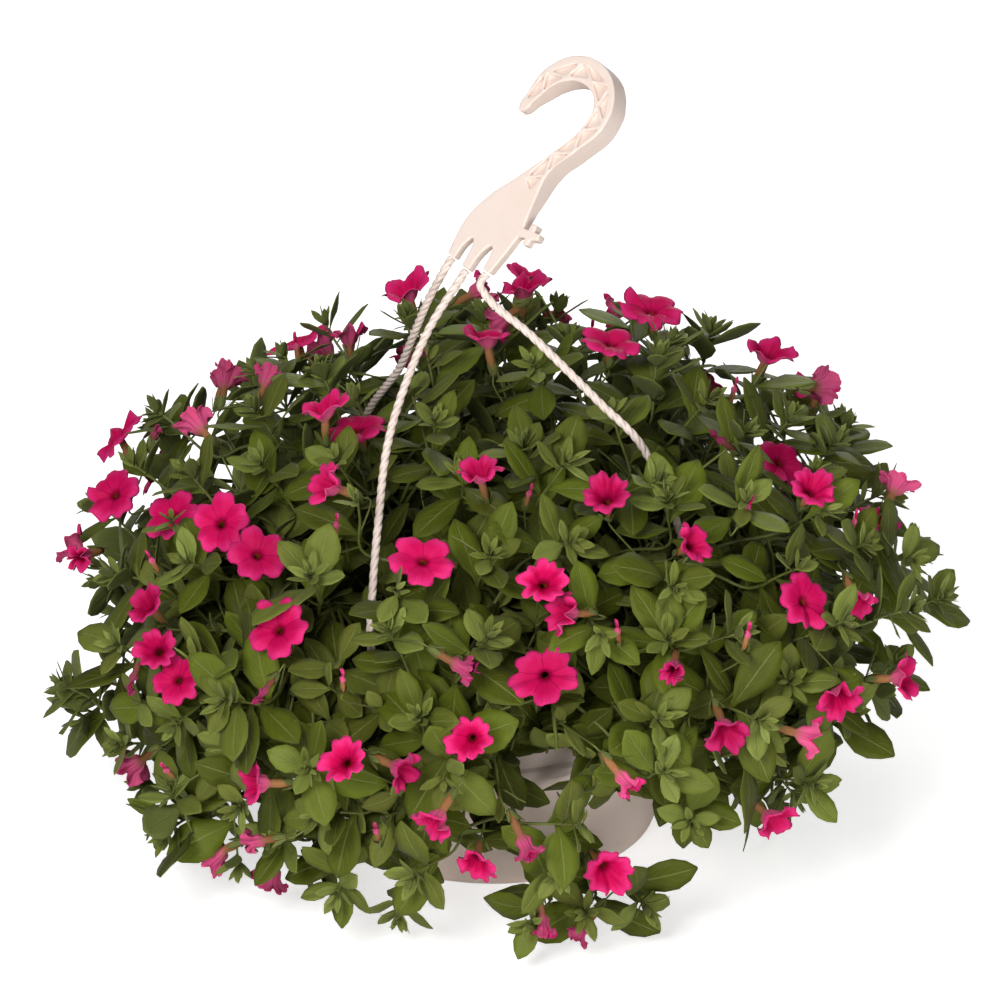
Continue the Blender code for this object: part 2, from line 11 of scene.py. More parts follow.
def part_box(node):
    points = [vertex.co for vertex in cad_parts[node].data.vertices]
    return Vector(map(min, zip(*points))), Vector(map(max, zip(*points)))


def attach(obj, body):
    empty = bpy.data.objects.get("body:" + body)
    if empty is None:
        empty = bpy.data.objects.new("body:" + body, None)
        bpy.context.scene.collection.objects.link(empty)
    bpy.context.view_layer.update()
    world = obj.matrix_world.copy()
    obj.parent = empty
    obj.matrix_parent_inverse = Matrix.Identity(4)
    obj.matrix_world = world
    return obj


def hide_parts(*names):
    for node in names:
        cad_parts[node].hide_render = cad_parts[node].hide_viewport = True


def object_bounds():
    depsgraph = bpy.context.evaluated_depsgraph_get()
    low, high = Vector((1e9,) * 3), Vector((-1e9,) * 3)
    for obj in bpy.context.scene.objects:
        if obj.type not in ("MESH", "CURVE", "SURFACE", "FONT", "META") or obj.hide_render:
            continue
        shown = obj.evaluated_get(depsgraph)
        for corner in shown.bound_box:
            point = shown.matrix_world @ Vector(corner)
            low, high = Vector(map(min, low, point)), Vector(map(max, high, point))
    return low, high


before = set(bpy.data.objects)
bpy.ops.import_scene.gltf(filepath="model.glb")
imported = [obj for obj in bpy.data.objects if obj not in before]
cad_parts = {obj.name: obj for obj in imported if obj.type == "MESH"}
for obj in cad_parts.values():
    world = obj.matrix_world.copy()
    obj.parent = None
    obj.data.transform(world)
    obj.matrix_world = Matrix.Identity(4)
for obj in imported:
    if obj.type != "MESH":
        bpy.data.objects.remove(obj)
cadLow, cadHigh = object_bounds()

mm = 0.001
up = Vector((0, 0, 1))
dice = random.Random(11)
potLow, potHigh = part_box("pot")
potFoot = Vector(((potLow.x + potHigh.x) / 2, (potLow.y + potHigh.y) / 2, potLow.z))
print("frame loaded, pot foot at", [round(c, 4) for c in potFoot])


def inRow(place):
    # a place in millimetres from the pot's foot, as the row frame has it
    return potFoot + Vector(place) * mm


def around(radius, degrees, height=0.0):
    turn = math.radians(degrees)
    return Vector((radius * math.cos(turn), radius * math.sin(turn), height))


# camera, lights and floor

view = {"elevation": 27.0, "distance": 6.0, "width": 0.465, "target": (3.3, 0.0, 163.0),
        "sensor": 36.0, "farthest": 50.0}
# each softbox: place, size, power and colour
softboxes = {
    "key_light": ((-700, -1900, 1500), 0.9, 38.5, (1.0, 0.985, 0.96)),
    "fill_light": ((700, -2000, 320), 1.0, 12.0, (1.0, 0.99, 0.98)),
    "low_light": ((250, -1100, 45), 0.5, 3.0, (1.0, 0.97, 0.95)),
    "back_light": ((500, 2300, 900), 1.2, 14.0, (1.0, 1.0, 1.0)),
    "top_light": ((200, 500, 1900), 1.2, 7.0, (1.0, 1.0, 1.0)),
}
studio = {"aim": (0, 0, 130), "sky": 0.13, "skyColour": (1.0, 0.995, 0.985, 1)}
paper = {"size": 30, "drop": 0.4, "tone": (0.95, 0.95, 0.95, 1), "glow": 0.62, "roughness": 0.9,
         "specular": 0.1}


def linked(name, data):
    obj = bpy.data.objects.new(name, data)
    bpy.context.scene.collection.objects.link(obj)
    return obj


def deselectAll():
    bpy.ops.object.select_all(action="DESELECT")


def makeActive(obj):
    deselectAll()
    obj.select_set(True)
    bpy.context.view_layer.objects.active = obj


def toCamera():
    rise = math.radians(view["elevation"])
    return Vector((0, -math.cos(rise), math.sin(rise)))


def aimAt(obj, target):
    obj.rotation_euler = (target - obj.location).to_track_quat("-Z", "Y").to_euler()


def addCamera():
    data = bpy.data.cameras.new("camera")
    data.sensor_width = view["sensor"]
    data.lens = data.sensor_width * view["distance"] / view["width"]
    data.clip_end = view["farthest"]
    camera = linked("camera", data)
    target = inRow(view["target"])
    camera.location = target + toCamera() * view["distance"]
    aimAt(camera, target)
    bpy.context.scene.camera = camera


def addSoftbox(name, place, size, power, tint):
    data = bpy.data.lights.new(name, "AREA")
    data.shape = "DISK"
    data.size = size
    data.energy = power
    data.color = tint
    lamp = linked(name, data)
    lamp.location = inRow(place)
    aimAt(lamp, inRow(studio["aim"]))


def addLights():
    for name, values in softboxes.items():
        addSoftbox(name, *values)
    world = bpy.data.worlds.new("studio")
    world.use_nodes = True
    background = world.node_tree.nodes["Background"]
    background.inputs["Color"].default_value = studio["skyColour"]
    background.inputs["Strength"].default_value = studio["sky"]
    bpy.context.scene.world = world
    bpy.context.scene.view_settings.view_transform = "Standard"


def addFloor():
    deselectAll()
    bpy.ops.mesh.primitive_plane_add(size=paper["size"], location=inRow((0, 0, -paper["drop"])))
    floor = bpy.context.object
    floor.name = "floor"
    material = bpy.data.materials.new("floor_paper")
    material.use_nodes = True
    nodes, links = material.node_tree.nodes, material.node_tree.links
    shader = nodes["Principled BSDF"]
    shader.inputs["Base Color"].default_value = paper["tone"]
    shader.inputs["Roughness"].default_value = paper["roughness"]
    shader.inputs["Specular IOR Level"].default_value = paper["specular"]
    shader.inputs["Emission Color"].default_value = (1, 1, 1, 1)
    # the paper shines a little for the camera only, so that it adds no light from below
    rays = nodes.new("ShaderNodeLightPath")
    glow = nodes.new("ShaderNodeMath")
    glow.operation = "MULTIPLY"
    glow.inputs[1].default_value = paper["glow"]
    links.new(rays.outputs["Is Camera Ray"], glow.inputs[0])
    links.new(glow.outputs[0], shader.inputs["Emission Strength"])
    floor.data.materials.append(material)


addCamera()
addLights()
addFloor()
print("camera and lights set")


# small helpers for node groups and materials

class Wiring:
    # one node tree, with short calls to add and join nodes
    def __init__(self, tree):
        self.tree = tree
        self.nodes = tree.nodes

    def add(self, kind, **settings):
        node = self.nodes.new(kind)
        for name, value in settings.items():
            setattr(node, name, value)
        return node

    def feed(self, node, name, value):
        socket = node.inputs[name]
        if isinstance(value, bpy.types.NodeSocket):
            self.tree.links.new(value, socket)
        elif isinstance(value, (tuple, list)) and len(value) == 3 and socket.type == "RGBA":
            socket.default_value = (*value, 1.0)
        else:
            socket.default_value = value

    def sum(self, operation, *values, clamp=False):
        node = self.add("ShaderNodeMath", operation=operation, use_clamp=clamp)
        for index, value in enumerate(values):
            self.feed(node, index, value)
        return node.outputs[0]

    def blend(self, share, first, second, mode="MIX"):
        node = self.add("ShaderNodeMix", data_type="RGBA", blend_type=mode)
        self.feed(node, 0, share)
        self.feed(node, 6, first)
        self.feed(node, 7, second)
        return node.outputs[2]

    def span(self, value, low, high, start=0.0, end=1.0):
        node = self.add("ShaderNodeMapRange", interpolation_type="SMOOTHSTEP")
        for index, number in enumerate((value, low, high, start, end)):
            self.feed(node, index, number)
        return node.outputs[0]

    def speckle(self, vector, scale, detail=3.0, rough=0.55):
        node = self.add("ShaderNodeTexNoise")
        self.feed(node, "Vector", vector)
        self.feed(node, "Scale", scale)
        self.feed(node, "Detail", detail)
        self.feed(node, "Roughness", rough)
        return node.outputs["Fac"]


def newGroup(name, colours, numbers, outputs):
    # every material gives the inputs their values
    tree = bpy.data.node_groups.new(name, "ShaderNodeTree")
    for kind, names in (("NodeSocketColor", colours), ("NodeSocketFloat", numbers)):
        for socketName in names:
            tree.interface.new_socket(socketName, in_out="INPUT", socket_type=kind)
    for socketName in outputs:
        kind = "NodeSocketColor" if socketName == "Color" else "NodeSocketFloat"
        tree.interface.new_socket(socketName, in_out="OUTPUT", socket_type=kind)
    wires = Wiring(tree)
    source = wires.add("NodeGroupInput")
    sink = wires.add("NodeGroupOutput")
    return tree, wires, source.outputs, sink


def newMaterial(name):
    material = bpy.data.materials.new(name)
    material.use_nodes = True
    wires = Wiring(material.node_tree)
    return material, wires, material.node_tree.nodes["Principled BSDF"]


def placeGroup(wires, tree, **values):
    node = wires.add("ShaderNodeGroup", node_tree=tree)
    for name, value in values.items():
        wires.feed(node, name, value)
    return node.outputs


def makeBladeGroup():
    # leaf pattern: u runs across the blade and v from stalk to tip; gives colour, height and roughness
    tree, w, given, sink = newGroup("leaf_blade", ("Young", "Old", "Under", "Rib"), ("Veins", "Mottle"),
                                    ("Color", "Height", "Roughness"))
    info = w.add("ShaderNodeAttribute", attribute_name="info")
    split = w.add("ShaderNodeSeparateColor")
    w.feed(split, 0, info.outputs["Color"])
    tone, age, under = split.outputs[0], split.outputs[1], split.outputs[2]
    uv = w.add("ShaderNodeUVMap", uv_map="blade")
    axes = w.add("ShaderNodeSeparateXYZ")
    w.feed(axes, 0, uv.outputs[0])
    offMiddle = w.sum("ABSOLUTE", w.sum("SUBTRACT", axes.outputs[0], 0.5))
    along = axes.outputs[1]
    rib = w.span(offMiddle, 0.008, 0.045, 1.0, 0.0)
    # side veins sweep forward from the midrib
    sweep = w.sum("SUBTRACT", along, w.sum("MULTIPLY", offMiddle, 0.75))
    wave = w.sum("SINE", w.sum("MULTIPLY", w.sum("MULTIPLY", sweep, given["Veins"]), math.tau))
    vein = w.sum("MULTIPLY", w.span(wave, 0.72, 1.0), w.span(offMiddle, 0.46, 0.05, 0.15, 1.0))
    place = w.add("ShaderNodeTexCoord").outputs["Object"]
    coarse = w.speckle(place, 160.0, 2.0)
    fine = w.speckle(place, 1400.0, 3.0)
    body = w.blend(age, given["Young"], given["Old"])
    # each leaf is a little lighter or darker, and yellower or bluer, than the next; the leaves deep inside
    # the mound get the darker tones, as painted shade
    lift = w.sum("MULTIPLY_ADD", tone, 0.75, 0.55)
    shade = w.sum("MULTIPLY", lift, w.sum("MULTIPLY_ADD", coarse, given["Mottle"], 0.88))
    body = w.blend(1.0, body, w.blend(tone, (1.0, 0.97, 0.72), (0.93, 1.0, 1.18)), "MULTIPLY")
    tinted = w.add("ShaderNodeVectorMath", operation="SCALE")
    w.feed(tinted, 0, body)
    w.feed(tinted, "Scale", shade)
    body = tinted.outputs[0]
    body = w.blend(w.sum("MULTIPLY", vein, 0.16), body, given["Rib"])
    body = w.blend(w.sum("MULTIPLY", rib, 0.6), body, given["Rib"])
    body = w.blend(w.sum("MULTIPLY", under, 0.75), body, given["Under"])
    sunk = w.sum("MULTIPLY_ADD", vein, -0.5, w.sum("MULTIPLY", rib, -1.0))
    height = w.sum("MULTIPLY_ADD", fine, 0.25, sunk)
    rough = w.sum("MULTIPLY_ADD", fine, 0.18, 0.44)
    w.feed(sink, "Color", body)
    w.feed(sink, "Height", height)
    w.feed(sink, "Roughness", rough)
    return tree


def makePetalGroup():
    # petal pattern: the UV is polar, from the tube's foot at its middle to the rim
    colours = ("Face", "Edge", "Vein", "Throat", "Eye", "Back", "Tube", "Faded")
    tree, w, given, sink = newGroup("petal_surface", colours, ("Mouth",), ("Color", "Height"))
    info = w.add("ShaderNodeAttribute", attribute_name="info")
    split = w.add("ShaderNodeSeparateColor")
    w.feed(split, 0, info.outputs["Color"])
    tone, fade, outside = split.outputs[0], split.outputs[1], split.outputs[2]
    uv = w.add("ShaderNodeUVMap", uv_map="blade")
    axes = w.add("ShaderNodeSeparateXYZ")
    w.feed(axes, 0, uv.outputs[0])
    x = w.sum("SUBTRACT", axes.outputs[0], 0.5)
    y = w.sum("SUBTRACT", axes.outputs[1], 0.5)
    square = w.sum("ADD", w.sum("MULTIPLY", x, x), w.sum("MULTIPLY", y, y))
    reach = w.sum("MULTIPLY", w.sum("SQRT", square), 2.0)
    turn = w.sum("ARCTAN2", y, x)
    # five main veins, one down each lobe, with finer ones between them
    main = w.span(w.sum("COSINE", w.sum("MULTIPLY", turn, 5.0)), 0.95, 1.0)
    place = w.add("ShaderNodeTexCoord").outputs["Object"]
    wobble = w.sum("MULTIPLY_ADD", w.speckle(place, 260.0, 2.0), 2.2, -1.1)
    fineVeins = w.span(w.sum("COSINE", w.sum("ADD", w.sum("MULTIPLY", turn, 45.0), wobble)), 0.35, 1.0)
    fadeOut = w.span(reach, given["Mouth"], 0.97, 1.0, 0.15)
    strongest = w.sum("MAXIMUM", w.sum("MULTIPLY", main, 0.9), w.sum("MULTIPLY", fineVeins, 0.5))
    vein = w.sum("MULTIPLY", strongest, fadeOut)
    face = w.blend(w.span(reach, 0.62, 1.0), given["Face"], given["Edge"])
    face = w.blend(vein, face, given["Vein"])
    inner = w.sum("SUBTRACT", given["Mouth"], 0.02)
    nearThroat = w.sum("MULTIPLY", w.span(reach, inner, w.sum("ADD", inner, 0.12), 1.0, 0.0), 0.7)
    face = w.blend(nearThroat, face, given["Throat"])
    eye = w.sum("MULTIPLY", w.span(reach, w.sum("SUBTRACT", inner, 0.10), inner, 1.0, 0.0), 0.8)
    face = w.blend(eye, face, given["Eye"])
    backVeins = w.sum("MULTIPLY", w.sum("MAXIMUM", main, w.sum("MULTIPLY", fineVeins, 0.4)), 0.6)
    back = w.blend(backVeins, given["Back"], given["Vein"])
    tubeStart, tubeEnd = w.sum("SUBTRACT", given["Mouth"], 0.12), w.sum("ADD", given["Mouth"], 0.22)
    back = w.blend(w.span(reach, tubeStart, tubeEnd, 1.0, 0.0), back, given["Tube"])
    colour = w.blend(outside, face, back)
    colour = w.blend(fade, colour, given["Faded"])
    shade = w.add("ShaderNodeVectorMath", operation="SCALE")
    w.feed(shade, 0, colour)
    w.feed(shade, "Scale", w.sum("MULTIPLY_ADD", tone, 0.50, 0.62))
    sunkVeins = w.sum("MULTIPLY", fineVeins, -0.35)
    height = w.sum("ADD", sunkVeins, w.sum("MULTIPLY_ADD", main, -0.8, w.speckle(place, 900.0, 2.0)))
    w.feed(sink, "Color", shade.outputs[0])
    w.feed(sink, "Height", height)
    return tree


def makeGrainGroup():
    # fine unevenness for plastic, bark and soil: two sizes of noise and a mask of dark specks
    numbers = ("Coarse", "Fine", "Amount", "Rough", "Specks")
    tree, w, given, sink = newGroup("surface_grain", ("Base", "Dirt"), numbers,
                                    ("Color", "Height", "Roughness"))
    place = w.add("ShaderNodeTexCoord").outputs["Object"]
    coarse = w.speckle(place, given["Coarse"], 4.0)
    fine = w.speckle(place, given["Fine"], 2.0)
    patch = w.sum("MULTIPLY", w.span(coarse, 0.35, 0.75), given["Amount"])
    colour = w.blend(patch, given["Base"], given["Dirt"])
    speck = w.sum("MULTIPLY", w.span(fine, 0.64, 0.74), given["Specks"])
    colour = w.blend(speck, colour, given["Dirt"])
    w.feed(sink, "Color", colour)
    w.feed(sink, "Height", w.sum("MULTIPLY_ADD", fine, 0.4, coarse))
    w.feed(sink, "Roughness", w.sum("MULTIPLY_ADD", coarse, 0.16, w.sum("SUBTRACT", given["Rough"], 0.08)))
    return tree


bladeGroup = makeBladeGroup()
petalGroup = makePetalGroup()
grainGroup = makeGrainGroup()


def addRelief(w, shader, height, strength, distance):
    bump = w.add("ShaderNodeBump")
    w.feed(bump, "Strength", strength)
    w.feed(bump, "Distance", distance)
    w.feed(bump, "Height", height)
    w.feed(shader, "Normal", bump.outputs[0])


leafLook = {
    "pattern": {"Young": (0.215, 0.243, 0.052), "Old": (0.088, 0.108, 0.006), "Under": (0.140, 0.170, 0.050),
                "Rib": (0.190, 0.225, 0.060), "Veins": 6.5, "Mottle": 0.26},
    "surface": {"Specular IOR Level": 0.15, "Sheen Weight": 0.03},
    "relief": (0.6, 0.0005),
}


def makeLeafMaterial():
    material, w, shader = newMaterial("leaf")
    made = placeGroup(w, bladeGroup, **leafLook["pattern"])
    w.feed(shader, "Base Color", made["Color"])
    w.feed(shader, "Roughness", made["Roughness"])
    for name, value in leafLook["surface"].items():
        w.feed(shader, name, value)
    addRelief(w, shader, made["Height"], *leafLook["relief"])
    return material


petalLook = {
    "pattern": {"Face": (0.60, 0.004, 0.098), "Edge": (0.74, 0.030, 0.20), "Vein": (0.30, 0.0, 0.045),
                "Throat": (0.17, 0.0, 0.012), "Eye": (0.36, 0.10, 0.008), "Back": (0.74, 0.105, 0.27),
                "Tube": (0.34, 0.16, 0.06), "Faded": (0.13, 0.008, 0.05), "Mouth": 0.36},
    "surface": {"Roughness": 0.52, "Specular IOR Level": 0.08},
    "relief": (0.45, 0.0003),
}


def makePetalMaterial():
    material, w, shader = newMaterial("petal")
    made = placeGroup(w, petalGroup, **petalLook["pattern"])
    w.feed(shader, "Base Color", made["Color"])
    for name, value in petalLook["surface"].items():
        w.feed(shader, name, value)
    addRelief(w, shader, made["Height"], *petalLook["relief"])
    return material


# base and dirt colour, coarse and fine scale, amount of dirt, roughness, specks, relief's strength and depth
grainLooks = {
    "hanger_plastic": ((0.90, 0.76, 0.69), (0.80, 0.61, 0.53), 55.0, 1500.0, 0.25, 0.42, 0.08, 0.12, 0.0002),
    "pot_plastic": ((0.97, 0.82, 0.74), (0.78, 0.60, 0.49), 38.0, 1200.0, 0.3, 0.45, 0.15, 0.15, 0.0002),
    "green_stem": ((0.13, 0.165, 0.03), (0.10, 0.07, 0.025), 90.0, 900.0, 0.6, 0.55, 0.3, 0.4, 0.0003),
    "woody_crown": ((0.17, 0.13, 0.07), (0.07, 0.045, 0.025), 160.0, 1100.0, 0.9, 0.8, 0.6, 0.9, 0.0008),
    "peat_soil": ((0.055, 0.036, 0.024), (0.012, 0.008, 0.006), 260.0, 1600.0, 0.9, 0.95, 0.5, 1.0, 0.0015),
}


def makeGrainMaterial(name):
    base, dirt, coarse, fine, amount, rough, specks, relief, depth = grainLooks[name]
    material, w, shader = newMaterial(name)
    made = placeGroup(w, grainGroup, Base=base, Dirt=dirt, Coarse=coarse, Fine=fine,
                      Amount=amount, Rough=rough, Specks=specks)
    w.feed(shader, "Base Color", made["Color"])
    w.feed(shader, "Roughness", made["Roughness"])
    addRelief(w, shader, made["Height"], relief, depth)
    return material


leafMaterial = makeLeafMaterial()
petalMaterial = makePetalMaterial()
hangerMaterial = makeGrainMaterial("hanger_plastic")
potMaterial = makeGrainMaterial("pot_plastic")
stemMaterial = makeGrainMaterial("green_stem")
barkMaterial = makeGrainMaterial("woody_crown")
soilMaterial = makeGrainMaterial("peat_soil")
print("materials made")


# piece bookkeeping

def finishPiece(obj, replaced=(), material=None):
    if material is not None:
        obj.data.materials.clear()
        obj.data.materials.append(material)
    if replaced:
        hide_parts(*replaced)
    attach(obj, "root")
    return obj


def settle(obj):
    # move the object's place into its mesh
    makeActive(obj)
    bpy.ops.object.transform_apply(location=True, rotation=True, scale=True)


def applyModifiers(obj):
    makeActive(obj)
    for modifier in list(obj.modifiers):
        bpy.ops.object.modifier_apply(modifier=modifier.name)


def smoothed(obj, degrees=None):
    makeActive(obj)
    if degrees is None:
        bpy.ops.object.shade_smooth()
    else:
        bpy.ops.object.shade_smooth_by_angle(angle=math.radians(degrees))


def choose(obj, test):
    # in edit mode, select the points whose place passes the test
    bpy.ops.mesh.select_all(action="DESELECT")
    work = bmesh.from_edit_mesh(obj.data)
    for vert in work.verts:
        vert.select = test(vert.co)
    work.select_flush(True)
    bmesh.update_edit_mesh(obj.data)


# hanger strands

hanger = {
    "palm": (-6.0, 8.0, 293.0), "upShank": (0.562, 0.375, 0.737), "across": (0.694, -0.698, -0.174),
    "fingers": [(-7.3, -13.0), (3.0, -14.0), (13.6, -10.0)],
    "thickHalf": 6.6, "thinHalf": 2.5, "taper": (10.0, 46.0),
    "strand": 3.8, "strandGap": 0.8, "straightRun": 6.5, "clipCircle": 88.7, "clipTop": 99.8,
    "clipGap": 0.3, "clipRun": 9.0, "ringSides": 24, "ringStep": 1.0,
}
# the strand's three plies: length of one turn, depth of the grooves, their roundness and the widest reach
twist = {"pitch": 15.0, "depth": 0.34, "round": 0.8, "widest": 1.05, "plies": 3}
# each strand: the hook's finger, the clip's turn round the pot, and the places between
strandRoutes = {
    "back": (0, 120.0, [(-30.0, 13.0, 260.0), (-37.0, 27.0, 235.0), (-44.0, 42.0, 210.0),
                        (-57.0, 68.0, 178.0), (-65.0, 90.0, 146.0), (-56.0, 92.0, 120.0)]),
    "front": (1, 240.0, [(-29.3, -16.0, 259.7), (-41.0, -36.0, 238.5), (-48.8, -56.0, 217.4),
                         (-52.5, -74.0, 190.0), (-55.0, -90.0, 165.0), (-56.0, -99.0, 138.0),
                         (-50.0, -90.0, 116.0)]),
    "right": (2, 0.0, [(-2.0, -11.0, 272.5), (4.5, -15.0, 267.5), (16.3, -20.0, 259.5),
                       (31.2, -28.0, 247.5), (49.8, -38.0, 231.8), (68.4, -43.0, 213.0),
                       (84.0, -34.0, 172.0), (91.0, -14.0, 132.0)]),
}
palm = Vector(hanger["palm"])
upShank = Vector(hanger["upShank"]).normalized()
acrossHook = Vector(hanger["across"]).normalized()
hookNormal = acrossHook.cross(upShank)


def hookPlace(across, rise, forward=0.0):
    return palm + acrossHook * across + upShank * rise + hookNormal * forward


def curvePoint(a, b, c, d, t):
    return 0.5 * (2 * b + (c - a) * t + (2 * a - 5 * b + 4 * c - d) * t**2
                  + (3 * b - a - 3 * c + d) * t**3)


def smoothRoute(places, spacing):
    # evenly spaced points on a smooth curve through the places
    places = [Vector(p) for p in places]
    ends = [2 * places[0] - places[1], *places, 2 * places[-1] - places[-2]]
    fine = [curvePoint(a, b, c, d, step / 16)
            for a, b, c, d in zip(ends, ends[1:], ends[2:], ends[3:]) for step in range(16)]
    fine.append(places[-1])
    travelled = np.concatenate([[0.0], np.cumsum([(q - p).length for p, q in zip(fine, fine[1:])])])
    count = max(2, round(travelled[-1] / spacing))
    wanted = np.linspace(0.0, travelled[-1], count + 1)
    table = np.array([tuple(p) for p in fine])
    spaced = [np.interp(wanted, travelled, table[:, axis]) for axis in range(3)]
    return [Vector(row) for row in np.column_stack(spaced)]


def carriedFrames(route):
    # a side and an across direction at every point, carried along without turning
    sides, side = [], None
    for index in range(len(route)):
        along = (route[min(index + 1, len(route) - 1)] - route[max(index - 1, 0)]).normalized()
        side = along.orthogonal() if side is None else side - along * side.dot(along)
        side = side.normalized()
        sides.append((along, side, along.cross(side)))
    return sides


def strandRoute(finger, degrees, places):
    across, rise = hanger["fingers"][finger]
    start = hookPlace(across, rise - hanger["strandGap"])
    straight = hookPlace(across, rise - hanger["straightRun"])
    end = around(hanger["clipCircle"], degrees, hanger["clipTop"] + hanger["clipGap"])
    return smoothRoute([start, straight, *places, end + up * hanger["clipRun"], end], hanger["ringStep"])


def sweptMesh(name, route, ringOf):
    # a closed tube along the route; ringOf gives a ring's (distance out, turn) pairs at each point
    points, faces = [], []
    frames = carriedFrames(route)
    count = len(ringOf(0))
    for index, (place, (along, side, other)) in enumerate(zip(route, frames)):
        points += [inRow(place + side * reach * math.cos(turn) + other * reach * math.sin(turn))
                   for reach, turn in ringOf(index)]
    for ring in range(len(route) - 1):
        for step in range(count):
            a, b = ring * count + step, ring * count + (step + 1) % count
            faces.append((a, b, b + count, a + count))
    faces.append(tuple(range(count - 1, -1, -1)))
    last = (len(route) - 1) * count
    faces.append(tuple(last + step for step in range(count)))
    mesh = bpy.data.meshes.new(name)
    mesh.from_pydata(points, [], faces)
    return linked(name, mesh)


def makeStrand(name):
    route = strandRoute(*strandRoutes[name])
    radius, sides = hanger["strand"] / 2, hanger["ringSides"]
    turnPerRing = math.tau * hanger["ringStep"] / twist["pitch"]

    def ropeRing(index):
        # the plies turn as the strand runs
        ring = []
        for step in range(sides):
            turn = math.tau * step / sides
            ply = abs(math.cos(twist["plies"] / 2 * turn)) ** twist["round"]
            reach = radius * (twist["widest"] + twist["depth"] * (ply - 1.0))
            ring.append((reach, turn + index * turnPerRing))
        return ring

    obj = sweptMesh(f"cord_{name}", route, ropeRing)
    smoothed(obj)
    finishPiece(obj, [f"strand_{name}"], hangerMaterial)
    return route


strands = {name: makeStrand(name) for name in strandRoutes}


# pot, soil and rim clips

def latheMesh(name, profile, segments):
    # the half-section, in millimetres, spun round the pot's axis
    mesh = bpy.data.meshes.new(name)
    edges = [(i, i + 1) for i in range(len(profile) - 1)]
    mesh.from_pydata([inRow((r, 0, z)) for r, z in profile], edges, [])
    obj = linked(name, mesh)
    makeActive(obj)
    bpy.ops.object.mode_set(mode="EDIT")
    bpy.ops.mesh.select_all(action="SELECT")
    bpy.ops.mesh.spin(steps=segments, angle=math.tau, center=potFoot, axis=(0, 0, 1))
    bpy.ops.mesh.select_all(action="SELECT")
    bpy.ops.mesh.remove_doubles(threshold=0.00002)
    bpy.ops.mesh.normals_make_consistent(inside=False)
    bpy.ops.object.mode_set(mode="OBJECT")
    return obj


potShape = {
    "segments": 120,
    "outside": [(92.0, 96.6), (92.0, 91.5), (90.4, 91.5), (90.4, 95.4), (87.0, 95.4), (86.6, 67.0),
                (88.7, 66.0), (89.0, 65.6), (89.0, 61.9), (88.6, 61.4), (86.0, 60.5), (76.6, 3.0),
                (75.9, 1.4), (74.6, 0.5), (72.6, 0.0), (60.0, 0.0), (58.0, 2.0), (0.0, 2.0)],
    "inside": [(0.0, 4.0), (74.2, 4.0), (83.9, 60.5), (84.6, 66.5), (85.4, 96.6), (85.9, 97.0),
               (91.5, 97.0)],
    "holes": 6, "holeRadius": 4.5, "holeCircle": 40.0, "holeHeight": 3.0, "holeSides": 32,
    "edge": 0.35, "edgeSteps": 2, "edgeAngle": 40,
}


def makePot():
    pot = latheMesh("flower_pot", potShape["inside"] + potShape["outside"], potShape["segments"])
    for number in range(potShape["holes"]):
        turn = 360 * (number + 0.5) / potShape["holes"]
        place = inRow(around(potShape["holeCircle"], turn, potShape["holeHeight"]))
        bpy.ops.mesh.primitive_cylinder_add(vertices=potShape["holeSides"], depth=0.02, location=place,
                                            radius=potShape["holeRadius"] * mm)
        cutter = bpy.context.object
        hole = pot.modifiers.new("drain hole", "BOOLEAN")
        hole.operation = "DIFFERENCE"
        hole.object = cutter
        applyModifiers(pot)
        bpy.data.objects.remove(cutter, do_unlink=True)
    edges = pot.modifiers.new("moulded edges", "BEVEL")
    edges.width = potShape["edge"] * mm
    edges.segments = potShape["edgeSteps"]
    edges.angle_limit = math.radians(potShape["edgeAngle"])
    applyModifiers(pot)
    smoothed(pot, potShape["edgeAngle"])
    finishPiece(pot, ["pot"], potMaterial)


soilShape = {"wall": [(74.8, 5.0), (83.2, 60.5), (83.9, 66.5), (84.0, 82.0)], "middle": 85.0,
             "foot": 5.0, "rings": 20, "segments": 96, "crumb": 1.6, "crumbShare": 0.9, "sink": 0.0009,
             "roughAbove": 80, "roughWithin": 82.5}


def makeSoil():
    edge, low = soilShape["wall"][-1]
    rings, rise = soilShape["rings"], soilShape["middle"] - low
    top = [(edge * k / rings, low + rise * (1 - (k / rings) ** 3)) for k in range(rings)]
    section = top + soilShape["wall"][::-1] + [(0.0, soilShape["foot"])]
    soil = latheMesh("soil_bed", section, soilShape["segments"])
    for vert in soil.data.vertices:
        local = (vert.co - potFoot) / mm
        reach = math.hypot(local.x, local.y)
        if local.z > soilShape["roughAbove"] and reach < soilShape["roughWithin"]:
            crumb = noise.noise(local * 0.35) + 0.6 * noise.noise(local * 0.9)
            vert.co.z += soilShape["crumb"] * crumb * mm * soilShape["crumbShare"] - soilShape["sink"]
    smoothed(soil)
    finishPiece(soil, ["soil"], soilMaterial)


def outlineMesh(name, places, kinds, resolution):
    # the closed outline as a plate 2 mm thick
    curve = bpy.data.curves.new(name, "CURVE")
    curve.dimensions = "2D"
    curve.fill_mode = "BOTH"
    curve.extrude = mm
    curve.resolution_u = resolution
    spline = curve.splines.new("BEZIER")
    spline.bezier_points.add(len(places) - 1)
    spline.use_cyclic_u = True
    for point, (x, y), kind in zip(spline.bezier_points, places, kinds):
        point.co = (x * mm, y * mm, 0)
        point.handle_left_type = point.handle_right_type = kind
    obj = linked(name, curve)
    makeActive(obj)
    bpy.ops.object.convert(target="MESH")
    weld(obj)
    return obj


def weld(obj):
    makeActive(obj)
    bpy.ops.object.mode_set(mode="EDIT")
    bpy.ops.mesh.select_all(action="SELECT")
    bpy.ops.mesh.remove_doubles(threshold=0.000002)
    bpy.ops.mesh.normals_make_consistent(inside=False)
    bpy.ops.object.mode_set(mode="OBJECT")


